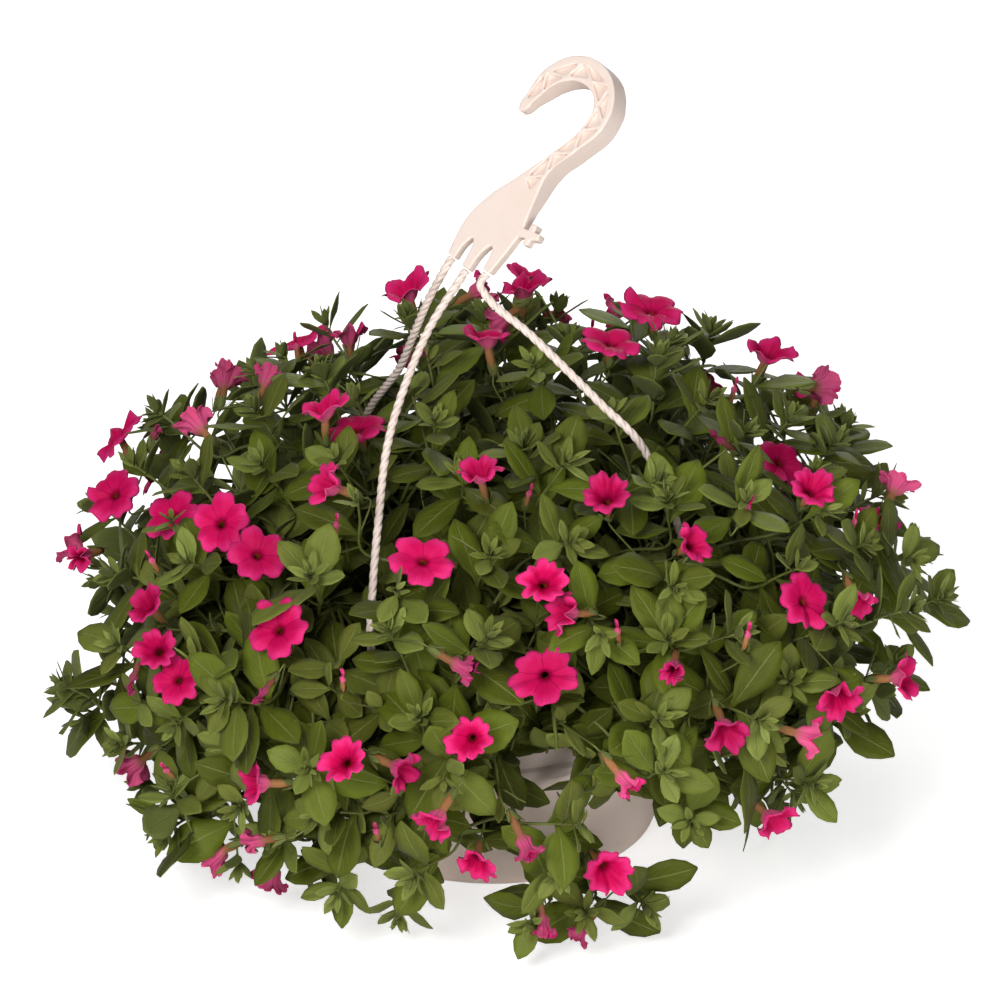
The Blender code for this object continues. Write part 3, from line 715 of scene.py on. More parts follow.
clipShape = {"section": [(82.4, 86.5), (84.6, 86.5), (84.6, 97.4), (92.4, 97.4), (92.4, 91.1), (90.8, 91.1),
                         (90.8, 89.0), (95.0, 89.0), (95.0, 99.8), (82.4, 99.8)],
             "width": 11.0, "edge": 0.4, "edgeSteps": 3, "smoothAngle": 35}


def makeClip(name, degrees):
    section = clipShape["section"]
    clip = outlineMesh(f"rim_clip_{name}", section, ["VECTOR"] * len(section), 1)
    turn = Matrix.Rotation(math.radians(degrees), 4, "Z") @ Matrix.Rotation(math.pi / 2, 4, "X")
    widen = Matrix.Diagonal((1, 1, clipShape["width"] / 2, 1))
    clip.data.transform(Matrix.Translation(potFoot) @ turn @ widen)
    edges = clip.modifiers.new("rounded edges", "BEVEL")
    edges.width = clipShape["edge"] * mm
    edges.segments = clipShape["edgeSteps"]
    edges.limit_method = "ANGLE"
    applyModifiers(clip)
    smoothed(clip, clipShape["smoothAngle"])
    finishPiece(clip, [f"clip_{name}"], hangerMaterial)


makePot()
makeSoil()
for name, (_, degrees, _) in strandRoutes.items():
    makeClip(name, degrees)
print("pot, soil and clips made")


# hook

smooth, sharp = "AUTO", "VECTOR"
hookShape = {
    "outline": [
        (-9.6, -13.0, sharp), (-5.0, -13.0, sharp), (-4.4, -3.5, smooth), (-2.6, -0.8, smooth),
        (-0.9, -3.5, smooth), (0.7, -14.0, sharp), (5.3, -14.0, sharp), (6.2, -2.5, smooth),
        (8.4, 0.9, smooth), (10.4, -2.5, smooth), (11.3, -10.0, sharp), (15.9, -10.0, sharp),
        (17.2, 2.0, smooth), (17.8, 11.5, sharp),
        # the cross-shaped lug that holds a plant label
        (21.2, 12.4, sharp), (21.8, 9.4, sharp), (24.8, 10.0, sharp), (24.4, 13.2, sharp),
        (28.0, 14.4, sharp), (27.4, 17.8, sharp), (23.9, 17.0, sharp), (23.4, 20.6, sharp),
        (20.4, 20.0, sharp), (20.8, 16.6, sharp), (17.5, 16.0, sharp),
        # outer side, up and over to the tip
        (15.6, 29.0, smooth), (14.8, 45.5, smooth), (20.0, 58.0, smooth), (25.4, 75.0, smooth),
        (20.0, 90.5, smooth), (6.0, 98.6, smooth), (-8.8, 96.0, smooth), (-18.4, 85.0, smooth),
        (-21.8, 70.0, smooth), (-21.6, 60.9, smooth), (-19.9, 60.3, smooth),
        # inner side, back down to the palm
        (-15.6, 69.0, smooth), (-8.2, 81.5, smooth), (2.0, 86.4, smooth), (12.4, 82.8, smooth),
        (15.8, 73.0, smooth), (11.2, 55.5, smooth), (2.1, 36.5, smooth), (-9.0, 17.5, smooth),
        (-11.8, 6.0, smooth)],
    "centreLine": [(-18.6, 66.0), (-15.6, 79.0), (-5.6, 90.6), (6.0, 92.6), (16.4, 86.4),
                   (20.6, 74.6), (16.6, 60.6), (11.0, 45.5), (7.4, 33.0)],
    "tip": (-21.0, 61.0), "tipShare": 0.48, "tipFade": 24.0, "voxel": 0.42, "smooth": 0.5, "smoothSteps": 12,
    # triangular pockets: how many, their depth, and each corner's place along and across the hook
    "pockets": 13, "pocketDepth": 2.4, "corners": [(0.0, -2.8), (1.55, -2.8), (0.775, 2.4)],
}


def eased(value, low, high):
    share = min(1.0, max(0.0, (value - low) / (high - low)))
    return share * share * (3 - 2 * share)


def halfThickness(across, rise):
    # thin in the palm, thick in the crook and thinner again towards the tip
    grown = hanger["thinHalf"] + (hanger["thickHalf"] - hanger["thinHalf"]) * eased(rise, *hanger["taper"])
    tipX, tipY = hookShape["tip"]
    fromTip = eased(math.hypot(across - tipX, rise - tipY), 0.0, hookShape["tipFade"])
    return grown * (hookShape["tipShare"] + (1 - hookShape["tipShare"]) * fromTip)


def pocketCorner(line, index, out):
    low = min(max(int(index), 0), len(line) - 2)
    along = line[low + 1] - line[low]
    place = line[low] + along * min(index - low, 1.0)
    side = Vector((along.y, -along.x)).normalized()
    return place.x - side.x * out, place.y - side.y * out


def makePocketCutter():
    line = smoothRoute([(x, y, 0) for x, y in hookShape["centreLine"]], 1.0)
    points, faces = [], []
    count = hookShape["pockets"]
    for number in range(count):
        start = number * (len(line) - 1) / count
        side = 1 if number % 2 else -1
        corners = [pocketCorner(line, start + reach * len(line) / count, side * out)
                   for reach, out in hookShape["corners"]]
        if side < 0:
            corners.reverse()
        first = len(points)
        for depth in (-hookShape["pocketDepth"], 3.0):
            points += [inRow(hookPlace(x, y, halfThickness(x, y) + depth)) for x, y in corners]
        faces += [(first, first + 2, first + 1), (first + 3, first + 4, first + 5)]
        faces += [(first + a, first + b, first + b + 3, first + a + 3)
                  for a, b in ((0, 1), (1, 2), (2, 0))]
    mesh = bpy.data.meshes.new("pockets")
    mesh.from_pydata(points, [], faces)
    cutter = linked("pockets", mesh)
    weld(cutter)
    return cutter


def makeHook():
    places = [(x, y) for x, y, kind in hookShape["outline"]]
    hook = outlineMesh("hanging_hook", places, [kind for x, y, kind in hookShape["outline"]], 10)
    for vert in hook.data.vertices:
        across, rise, side = vert.co / mm
        vert.co = inRow(hookPlace(across, rise, side * halfThickness(across, rise)))
    weld(hook)
    cutter = makePocketCutter()
    pockets = hook.modifiers.new("pockets", "BOOLEAN")
    pockets.operation = "DIFFERENCE"
    pockets.object = cutter
    grow = hook.modifiers.new("even skin", "REMESH")
    grow.mode = "VOXEL"
    grow.voxel_size = hookShape["voxel"] * mm
    soften = hook.modifiers.new("moulded edges", "SMOOTH")
    soften.factor = hookShape["smooth"]
    soften.iterations = hookShape["smoothSteps"]
    applyModifiers(hook)
    bpy.data.objects.remove(cutter, do_unlink=True)
    smoothed(hook)
    finishPiece(hook, ["hook"], hangerMaterial)
    print("hook", len(hook.data.polygons), "faces")


makeHook()


# the plant's own measures

plant = {
    "centreHeight": 107.0, "radius": 200.0, "halfHeight": 124.0, "lean": 16.0,
    "crowns": 3, "firstCrown": 60, "crownCircle": 36.0, "crownHeight": 85.3,
    "stemStart": 12, "stemInset": 30.0, "stemBend": 0.55, "stemStep": 6.0,
    # each tier of main stems: its turns from the crown, its elevation and how far the stem arches
    "tiers": [("top", [0.0], 66.0, 8.0), ("upper", [-34.0, 26.0], 40.0, 16.0),
              ("middle", [-20.0, 14.0, 50.0], 8.0, 34.0), ("skirt", [-40.0, -4.0, 32.0], -30.0, 62.0)],
}


def moundPlace(degrees, elevation, inset=0.0):
    rise = math.radians(elevation)
    flat = around((plant["radius"] - inset) * math.cos(rise), degrees)
    return flat + up * (plant["centreHeight"] + (plant["halfHeight"] - inset) * math.sin(rise))


def moundNormal(place):
    local = place - up * plant["centreHeight"]
    return Vector((local.x / plant["radius"] ** 2, local.y / plant["radius"] ** 2,
                   local.z / plant["halfHeight"] ** 2)).normalized()


def leaned(place):
    # the top of the plant stands a little to one side, and its flanks draw in
    inward = 0.0
    if place.x > 0 and place.z < 115:
        inward = -0.17 * place.x * min(1.0, (115 - place.z) / 60)
    elif place.x < 0 and place.z < 150:
        band = min(1.0, (150 - place.z) / 30) * min(1.0, max(0.0, (place.z - 70) / 30))
        inward = -0.05 * place.x * band
    return place + Vector((plant["lean"] * eased(place.z, 165.0, 225.0) + inward, 0, 0))


crownShape = {"profile": [(0.0, 17.0), (2.5, 16.8), (4.5, 15.6), (6.0, 13.0), (7.2, 10.0), (7.6, 7.0),
                          (8.0, 4.5), (9.2, 2.0), (10.5, 0.2), (5.0, 0.0), (0.0, 0.0)],
              "segments": 28, "knots": 0.16, "ridges": 0.08, "shrink": 0.1}


def crownTurn(number):
    return plant["firstCrown"] + 360 // plant["crowns"] * number


def makeCrowns():
    for number in range(plant["crowns"]):
        crown = latheMesh(f"woody_crown_{number + 1}", crownShape["profile"], crownShape["segments"])
        foot = around(plant["crownCircle"], crownTurn(number), plant["crownHeight"])
        for vert in crown.data.vertices:
            local = (vert.co - potFoot) / mm
            if local.z > 0.5:
                knot = noise.noise(local * 0.28 + Vector((number * 9, 0, 0)))
                ridge = noise.noise(Vector((local.x, local.y, local.z * 0.3)) * 0.8)
                grown = crownShape["knots"] * knot + crownShape["ridges"] * ridge
                local.xy *= 1.0 + grown - crownShape["shrink"]
            vert.co = inRow(local + foot)
        smoothed(crown)
        finishPiece(crown, [f"crown_{number + 1}"], barkMaterial)


makeCrowns()


def mainStems():
    # route of each main stem from its crown to its tip, by the name of the CAD shoot it stands for
    routes = {}
    for crown in range(plant["crowns"]):
        degrees = crownTurn(crown)
        start = around(plant["crownCircle"], degrees, plant["crownHeight"] + plant["stemStart"])
        for tier, turns, elevation, lift in plant["tiers"]:
            for number, turn in enumerate(turns):
                tip = leaned(moundPlace(degrees + turn, elevation, plant["stemInset"]))
                middle = start.lerp(tip, plant["stemBend"]) + up * lift
                name = f"{tier}_{crown * len(turns) + number + 1}"
                routes[name] = smoothRoute([start, middle, tip], plant["stemStep"])
    return routes


stemRoutes = mainStems()
print("stems planned:", len(stemRoutes))


# leaf masters: unit length along Y, upper face towards Z

leafShape = {
    "cellsAcross": 4, "thickness": 0.014, "foldAtRib": 1.3, "foldLost": 0.9, "waves": 9.0, "shorten": 0.12,
    # each row's place along the leaf and its width as a share of the widest
    "largeRows": [(0.0, 0.11), (0.11, 0.20), (0.28, 0.66), (0.49, 0.98), (0.69, 0.96), (0.87, 0.60),
                  (1.0, 0.06)],
    "smallRows": [(0.0, 0.30), (0.30, 0.80), (0.58, 1.0), (0.83, 0.62), (1.0, 0.05)],
    # half width, fold, bend of the tip, wave of the margin
    "large": [(0.265, 0.14, -0.14, 0.02), (0.225, 0.24, 0.06, -0.015), (0.275, 0.10, -0.30, 0.03),
              (0.24, 0.2, -0.04, 0.0)],
    "small": [(0.185, 0.34, 0.12, 0.0), (0.165, 0.28, -0.14, 0.0)],
}


def makeLeafMaster(name, rowTable, halfWidth, fold, bend, wave):
    deselectAll()
    across, rows = leafShape["cellsAcross"], len(rowTable) - 1
    bpy.ops.mesh.primitive_grid_add(x_subdivisions=across, y_subdivisions=rows, size=1, location=(0, 0.5, 0))
    leaf = bpy.context.object
    leaf.name = name
    settle(leaf)
    bpy.ops.object.mode_set(mode="EDIT")
    # rows move and narrow to the leaf's outline, and the tip bends; the halves then fold up from the midrib
    for row in reversed(range(rows + 1)):
        along, width = rowTable[row]
        choose(leaf, lambda co: abs(co.y - row / rows) < 0.01 and abs(co.z) < 0.0001)
        bpy.ops.transform.resize(value=(width * 2 * halfWidth, 1, 1), center_override=(0, row / rows, 0))
        bpy.ops.transform.translate(value=(0, along - row / rows, bend * along * along + 0.0002))
    bpy.ops.object.mode_set(mode="OBJECT")
    for vert in leaf.data.vertices:
        share = abs(vert.co.x) / halfWidth
        along = vert.co.y
        vert.co.z += fold * abs(vert.co.x) * (leafShape["foldAtRib"] - leafShape["foldLost"] * share)
        vert.co.z += wave * math.sin(along * leafShape["waves"]) * share * (1 if vert.co.x > 0 else -1)
        vert.co.y -= leafShape["shorten"] * bend * bend * along
    leaf.data.uv_layers[0].name = "blade"
    upper = len(leaf.data.vertices)
    body = leaf.modifiers.new("thickness", "SOLIDIFY")
    body.thickness = leafShape["thickness"]
    body.offset = -1
    applyModifiers(leaf)
    return takeMaster(leaf, upper)


def takeMaster(obj, upper):
    # the master's points, faces and UVs as arrays; the object itself is removed
    mesh = obj.data
    points = np.empty(len(mesh.vertices) * 3)
    mesh.vertices.foreach_get("co", points)
    loops = np.empty(len(mesh.loops), np.int32)
    mesh.loops.foreach_get("vertex_index", loops)
    starts = np.empty(len(mesh.polygons), np.int32)
    mesh.polygons.foreach_get("loop_start", starts)
    uv = np.empty(len(mesh.loops) * 2)
    mesh.uv_layers["blade"].data.foreach_get("uv", uv)
    under = (np.arange(len(mesh.vertices)) >= upper).astype(float)
    bpy.data.objects.remove(obj, do_unlink=True)
    bpy.data.meshes.remove(mesh)
    return {"points": points.reshape(-1, 3), "loops": loops, "starts": starts,
            "uv": uv.reshape(-1, 2), "under": under}


largeLeaves = [makeLeafMaster(f"large_leaf_{n}", leafShape["largeRows"], *values)
               for n, values in enumerate(leafShape["large"])]
smallLeaves = [makeLeafMaster(f"small_leaf_{n}", leafShape["smallRows"], *values)
               for n, values in enumerate(leafShape["small"])]
print("leaf faces", len(largeLeaves[0]["starts"]), len(smallLeaves[0]["starts"]))


class Gathered:
    # copies of masters, each with its own place and colours, that become one mesh
    def __init__(self):
        self.points, self.loops, self.starts, self.uvs, self.infos = [], [], [], [], []
        self.pointCount = self.loopCount = 0

    def add(self, master, columns, place, info):
        # columns are the copy's X, Y and Z axes, scaled, and place its origin, all in millimetres
        points = master["points"] @ np.array(columns) + np.array(place)
        self.addPoints(master, points, info)

    def addPoints(self, master, points, info):
        self.points.append(points)
        self.loops.append(master["loops"] + self.pointCount)
        self.starts.append(master["starts"] + self.loopCount)
        self.uvs.append(master["uv"])
        colours = np.ones((len(points), 4))
        colours[:, 0], colours[:, 1] = info
        colours[:, 2] = master["under"]
        self.infos.append(colours)
        self.pointCount += len(points)
        self.loopCount += len(master["loops"])

    def build(self, name):
        mesh = bpy.data.meshes.new(name)
        places = np.concatenate(self.points) * mm + np.array(potFoot)
        loops, starts = np.concatenate(self.loops), np.concatenate(self.starts)
        mesh.vertices.add(len(places))
        mesh.vertices.foreach_set("co", places.ravel())
        mesh.loops.add(len(loops))
        mesh.loops.foreach_set("vertex_index", loops.astype(np.int32))
        mesh.polygons.add(len(starts))
        mesh.polygons.foreach_set("loop_start", starts.astype(np.int32))
        mesh.polygons.foreach_set("use_smooth", np.ones(len(starts), bool))
        mesh.uv_layers.new(name="blade")
        mesh.uv_layers["blade"].data.foreach_set("uv", np.concatenate(self.uvs).ravel())
        info = mesh.attributes.new("info", "FLOAT_COLOR", "POINT")
        info.data.foreach_set("color", np.concatenate(self.infos).ravel())
        mesh.update(calc_edges=True)
        return linked(name, mesh)


# where shoots and flowers stand

growth = {
    "firstShoots": [(-109, 41), (-108, 35), (-50, 61), (-52, 57)], "surfaceShoots": 180, "lowest": -47.0,
    "candidates": 8, "jitter": 12.0, "topJitter": 0.45, "spread": 0.22, "innerSpread": 0.3,
    # how far below its tip a shoot turns, how much its stem rises on the way there, and where on a main
    # stem it may start
    "shootLength": 34, "shootEnd": 12, "shootRise": 4, "rootSpan": (0.45, 0.8),
    # a shoot's aim: shares of the mound's normal and of the way from its centre, and the lift up
    "normal": 0.45, "radial": 0.55, "outward": 0.8, "lift": 0.16, "lowLift": 0.24, "lowBelow": 90,
    # count, lowest and highest elevation and inset of each layer of older leaves
    "layers": [(130, -46.0, 90.0, 34.0), (150, -42.0, 90.0, 60.0), (70, -46.0, -5.0, 40.0),
               (60, 10.0, 90.0, 84.0)],
    # each leaf of a shoot: its distance from the tip, its length and its angle to the stem
    "gaps": [(0.2, 6.5, 12), (0.4, 7.5, 20), (0.7, 8.5, 28), (1.1, 9.5, 35), (1.5, 10.5, 41),
             (2.0, 11.5, 47), (2.6, 12.0, 52), (3.2, 12.5, 57), (4.0, 13.0, 61), (5.1, 15.5, 62),
             (6.4, 19.0, 64), (8.2, 23.5, 66), (10.8, 27.0, 69), (14.0, 29.5, 72), (18.5, 31.0, 76),
             (24.0, 31.0, 82), (31.0, 30.0, 88), (39.0, 28.0, 93)],
    "innerGaps": [(0.5, 12.0, 30), (3.0, 20.0, 55), (7.0, 25.0, 70), (12.0, 28.0, 76), (18.0, 29.0, 82),
                  (25.0, 29.0, 86), (33.0, 28.0, 90), (42.0, 27.0, 94)],
    "golden": 137.5,
}


def gaussToss():
    return Vector((dice.gauss(0, 1), dice.gauss(0, 1), dice.gauss(0, 1)))


def spreadOver(count, lowest, taken=(), highest=90.0):
    # places spread evenly over the mound between these elevations, by best candidate
    chosen = [Vector(p) for p in taken]
    for number in range(count):
        best, bestGap = None, -1.0
        for trial in range(growth["candidates"]):
            low, high = math.sin(math.radians(lowest)), math.sin(math.radians(highest))
            rise = math.degrees(math.asin(dice.uniform(low, high)))
            place = moundPlace(dice.uniform(-180, 180), rise)
            gap = min([(place - other).length for other in chosen], default=999.0)
            if gap > bestGap:
                best, bestGap = place, gap
        chosen.append(best)
    return chosen[len(taken):]


def nearestShoot(place):
    return min(stemRoutes, key=lambda name: (stemRoutes[name][-1] - place).length)


def shootAim(place, spread):
    radial = (place - up * plant["centreHeight"]).normalized()
    normal = moundNormal(place) * growth["normal"] + radial * growth["radial"]
    lift = growth["lift"] if place.z > growth["lowBelow"] else growth["lowLift"]
    return (normal * growth["outward"] + up * lift + gaussToss() * spread).normalized()


sight = toCamera()
# patches of the pot that no leaf hangs before: place, half width and half height of each
windows = [((-6, -76, 9), 22, 8), ((61, -55, 26), 14, 12), ((26, -85, 68), 14, 9)]
# bare spots of the mound: turn, elevation, half angle
bareSpots = [(-44, -40, 10), (-28, -42, 12), (-113, 52, 8)]
# each strand shows above this height, and leaves keep clear of it in space and before it
visibleAbove = {"front": 166.0, "right": 216.0, "back": 208.0}
lane = {"gap": 5.0, "front": 7.0, "behind": 2}
# leaves keep off the ground, below the strands' fork and out of the pot
room = {"lowest": 4.0, "highest": 241.0, "potHeight": 100, "potRadius": 96}
sideAxis = Vector((1, 0, 0))
riseAxis = sight.cross(sideAxis)


def makeLanes():
    # strand points in space, and seen along the sight for the visible stretches
    solid = [p for route in strands.values() for p in route]
    seen = [p for name, route in strands.items() for p in route if p.z > visibleAbove[name]]
    return np.array([tuple(p) for p in solid]), np.array([tuple(p) for p in seen])


def seenFrom(places):
    # places as the camera's side sees them: across and up, and their depth
    flat = np.stack([places @ np.array(sideAxis), places @ np.array(riseAxis)], axis=1)
    return flat, places @ np.array(sight)


strandPoints, seenPoints = makeLanes()
seenFlat, seenDepth = seenFrom(seenPoints)


def inWindow(flat, depth):
    for place, halfWidth, halfHeight in windows:
        place = np.array(place, float)
        offset = np.hypot((flat[:, 0] - place @ np.array(sideAxis)) / halfWidth,
                          (flat[:, 1] - place @ np.array(riseAxis)) / halfHeight)
        if ((offset < 1.0) & (depth > place @ np.array(sight))).any():
            return True
    return False


def crossesWindow(route):
    places = np.array([tuple(p) for p in route[8::4]])
    return inWindow(*seenFrom(places))


def blocked(probe):
    # probe holds a few places of one leaf; true where it would cross a strand, the pot or a window
    height = probe[:, 2]
    fromAxis = np.hypot(probe[:, 0], probe[:, 1])
    inPot = (height < room["potHeight"]) & (fromAxis < room["potRadius"])
    if (height < room["lowest"]).any() or (height > room["highest"]).any() or inPot.any():
        return True
    if (np.linalg.norm(probe[:, None] - strandPoints[None], axis=2) < lane["gap"]).any():
        return True
    flat, depth = seenFrom(probe)
    aside = np.linalg.norm(flat[:, None] - seenFlat[None], axis=2)
    if ((aside < lane["front"]) & (depth[:, None] > seenDepth[None] - lane["behind"])).any():
        return True
    return inWindow(flat, depth)


def planShoot(place, spread, inset=0.0):
    normal = moundNormal(place)
    spare = growth["jitter"] * (1.0 if place.z < 150 else growth["topJitter"])
    tip = leaned(place - normal * inset) + normal * dice.uniform(-1, 1) * spare
    aim = shootAim(place, spread)
    owner = nearestShoot(tip)
    stem = stemRoutes[owner]
    shoot = {"owner": owner, "tip": tip, "aim": aim}
    shoot["route"] = shootRoute(shoot, stem[int(len(stem) * dice.uniform(*growth["rootSpan"]))])
    return shoot


def shootRoute(shoot, root):
    # from the tip back to the root
    tip, aim = shoot["tip"], shoot["aim"]
    low = tip - aim * growth["shootLength"]
    middle = root.lerp(low, 0.6) + up * growth["shootRise"]
    return smoothRoute([root, middle, low, tip - aim * growth["shootEnd"], tip], 1.0)[::-1]


def keepWindowsClear(shoots):
    # a stem that would cross a window branches from a neighbour instead; where none serves, the shoot goes
    kept = [shoot for shoot in shoots if not crossesWindow(shoot["route"])]
    roots = [(p, shoot["owner"]) for shoot in kept for p in shoot["route"][10:44:6]]
    for shoot in shoots:
        if not crossesWindow(shoot["route"]):
            continue
        low = shoot["tip"] - shoot["aim"] * growth["shootLength"]
        for root, owner in sorted(roots, key=lambda entry: (entry[0] - low).length)[:60]:
            route = shootRoute(shoot, root)
            if not crossesWindow(route):
                kept.append({**shoot, "route": route, "owner": owner})
                break
    return kept


def inPotSpace(p):
    return p.z < 101 and math.hypot(p.x, p.y) < 97


def fromCentre(place):
    return (place - up * plant["centreHeight"]).normalized()


bareWays = [(fromCentre(moundPlace(turn, elevation)), math.cos(math.radians(half)))
            for turn, elevation, half in bareSpots]


def inBareSpot(place):
    way = fromCentre(place)
    return any(way.dot(spot) > limit for spot, limit in bareWays)


firstPlaces = [moundPlace(degrees, elevation) for degrees, elevation in growth["firstShoots"]]
morePlaces = spreadOver(growth["surfaceShoots"], growth["lowest"], firstPlaces)
surfacePlaces = firstPlaces + [p for p in morePlaces if not inBareSpot(p)]
surfaceShoots = [planShoot(p, growth["spread"]) for p in surfacePlaces]


def planInner():
    # each deeper layer stands in the gaps of the layer outside it
    shoots, above = [], surfacePlaces
    for count, lowest, highest, inset in growth["layers"]:
        places = [p for p in spreadOver(count, lowest, above, highest) if not inBareSpot(p)]
        shoots += [planShoot(p, growth["innerSpread"], inset) for p in places]
        above = places
    return shoots


innerShoots = planInner()
surfaceShoots, innerShoots = keepWindowsClear(surfaceShoots), keepWindowsClear(innerShoots)
print("shoots planned:", len(surfaceShoots), len(innerShoots))


# flowers

corolla = {
    "sides": 50, "lobes": 5, "thickness": 0.28,
    # reach, radius and height of each ring of the open flower, in millimetres from the tube's foot
    "rings": [(0.06, 1.3, 0.0), (0.14, 1.7, 4.0), (0.21, 2.1, 8.0), (0.28, 2.0, 11.0),
              (0.34, 1.9, 12.6), (0.48, 5.0, 14.2), (0.62, 8.4, 15.0), (0.78, 11.4, 15.3),
              (0.90, 13.7, 15.1), (1.0, 15.2, 14.6)],
    "mouth": 4, "cleft": 0.44, "notch": 0.05, "ruffle": 0.75, "uneven": 0.13, "droop": 1.8,
    "lobeTilt": 8.0, "lobeSize": 0.16, "closed": 86, "twist": 1.1, "crumple": 2.4, "masters": 5,
    "height": 13.5,
}
# each kind: how far it closes, crumples, its size, its fading, its pleats, how much its limb narrows, and
# the radius that leaves keep clear
kindValues = ("close", "crumple", "size", "fade", "pleat", "narrow", "reach")
flowerKinds = {kind: dict(zip(kindValues, values)) for kind, values in {
    "open": (0.04, 0.18, 0.95, 0.0, 0.35, 0.0, 12.5),
    "cupped": (0.40, 0.4, 0.95, 0.0, 0.7, 0.0, 11.0),
    "side": (0.50, 0.6, 0.95, 0.03, 1.0, 0.0, 9.0),
    "half": (0.74, 0.5, 0.9, 0.10, 1.6, 0.0, 6.5),
    "wilted": (0.93, 1.4, 0.78, 0.65, 1.6, 0.35, 4.5),
    "bud": (0.99, 0.1, 0.62, 0.0, 1.0, 0.55, 3.0),
}.items()}


def onRing(co, height, radius):
    return abs(co.z - height) < 1e-4 and abs(math.hypot(co.x, co.y) - radius) < 1e-3


def makeCorolla():
    # rings are extruded up the tube and out over the limb
    deselectAll()
    sides = corolla["sides"]
    first = corolla["rings"][0]
    bpy.ops.mesh.primitive_circle_add(vertices=sides, radius=first[1], fill_type="NGON", location=(0, 0, 0))
    flower = bpy.context.object
    bpy.ops.object.mode_set(mode="EDIT")
    bpy.ops.mesh.select_all(action="SELECT")
    bpy.ops.mesh.flip_normals()
    for (reach, radius, height), before in zip(corolla["rings"][1:], corolla["rings"]):
        grow = radius / before[1]
        choose(flower, lambda co: onRing(co, before[2], before[1]))
        bpy.ops.mesh.extrude_edges_move(TRANSFORM_OT_translate={"value": (0, 0, height - before[2])})
        bpy.ops.transform.resize(value=(grow, grow, 1), center_override=(0, 0, height))
    bpy.ops.object.mode_set(mode="OBJECT")
    return flower


def ringOf(co):
    fromAxis = math.hypot(co.x, co.y)
    reaches = [abs(co.z - height) + abs(fromAxis - radius) for _, radius, height in corolla["rings"]]
    return reaches.index(min(reaches))


def shapeFlower(kind, seed):
    # one flower of this kind as a master, in millimetres, its tube's foot at the origin
    flower = makeCorolla()
    values = flowerKinds[kind]
    mesh = flower.data
    first, lobes = corolla["mouth"], corolla["lobes"]
    mouth = corolla["rings"][first]
    rings = [ringOf(v.co) for v in mesh.vertices]
    turns = [math.atan2(v.co.y, v.co.x) for v in mesh.vertices]
    shift = Vector((seed * 7.3, seed * 3.1, 0))
    for vert, ring, turn in zip(mesh.vertices, rings, turns):
        reach, radius, height = corolla["rings"][ring]
        share = max(0.0, (ring - first) / (len(corolla["rings"]) - 1 - first))
        lobe = abs(math.sin(turn * lobes / 2))
        # narrow clefts stand between the lobes, with a shallow notch at each lobe's middle
        cleft = corolla["cleft"] * (1 - lobe) ** 2.0 * share ** 1.6
        notch = corolla["notch"] * max(0.0, 1 - (1 - lobe) * 9.0) * share ** 3
        outward = Vector((math.cos(turn), math.sin(turn), 0))
        uneven = corolla["uneven"] * noise.noise(outward * 1.3 + shift)
        out = radius * (1 - cleft - notch + uneven * share)
        rise = height + share * corolla["ruffle"] * math.cos(turn * lobes * 2) * 0.6
        rise -= share * corolla["droop"] * (1 - lobe) ** 1.5 * (1 - values["close"]) + share ** 3
        # each lobe has its own tilt and size
        ownLobe = round((turn / math.tau * lobes - 0.5) % lobes - 0.5)
        own = Vector((ownLobe * 3.7 + seed * 11.3, 4.1, 2.7))
        rise += share * lobe * corolla["lobeTilt"] * noise.noise(own)
        out *= 1 + corolla["lobeSize"] * share * lobe * noise.noise(own + shift)
        # closing turns the limb forward about the mouth
        bend = values["close"] * math.radians(corolla["closed"])
        dx, dz = out - mouth[1], rise - mouth[2]
        if share > 0:
            angle = bend * min(1.0, share * 2.5)
            cosine, sine = math.cos(angle), math.sin(angle)
            dx, dz = dx * cosine - dz * sine, dx * sine + dz * cosine
            dx += values["pleat"] * share * math.cos(turn * lobes) * (0.3 + values["close"])
        out, rise = mouth[1] + dx, mouth[2] + dz
        if values["narrow"]:
            out *= 1 - share * values["narrow"]
            turn += share * corolla["twist"]
        place = Vector((out * math.cos(turn), out * math.sin(turn), rise))
        crumple = values["crumple"] * share * corolla["crumple"]
        place += crumple * Vector((noise.noise(place * 0.22 + shift), noise.noise(place * 0.22 - shift),
                                   noise.noise(place * 0.25 + shift * 2)))
        vert.co = place * values["size"]
    uvs = mesh.uv_layers[0] if mesh.uv_layers else mesh.uv_layers.new(name="blade")
    uvs.name = "blade"
    for loop in mesh.loops:
        reach = corolla["rings"][rings[loop.vertex_index]][0]
        turn = turns[loop.vertex_index]
        uvs.data[loop.index].uv = (0.5 + 0.5 * reach * math.cos(turn), 0.5 + 0.5 * reach * math.sin(turn))
    upper = len(mesh.vertices)
    body = flower.modifiers.new("thickness", "SOLIDIFY")
    body.thickness = corolla["thickness"]
    body.offset = -1
    applyModifiers(flower)
    master = takeMaster(flower, upper)
    # the first shell is the outside of the tube, so the second one is the face
    master["under"] = 1.0 - master["under"]
    return master


flowerMasters = {kind: [shapeFlower(kind, seed) for seed in range(corolla["masters"])]
                 for kind in flowerKinds}
print("flower faces", len(flowerMasters["open"][0]["starts"]))

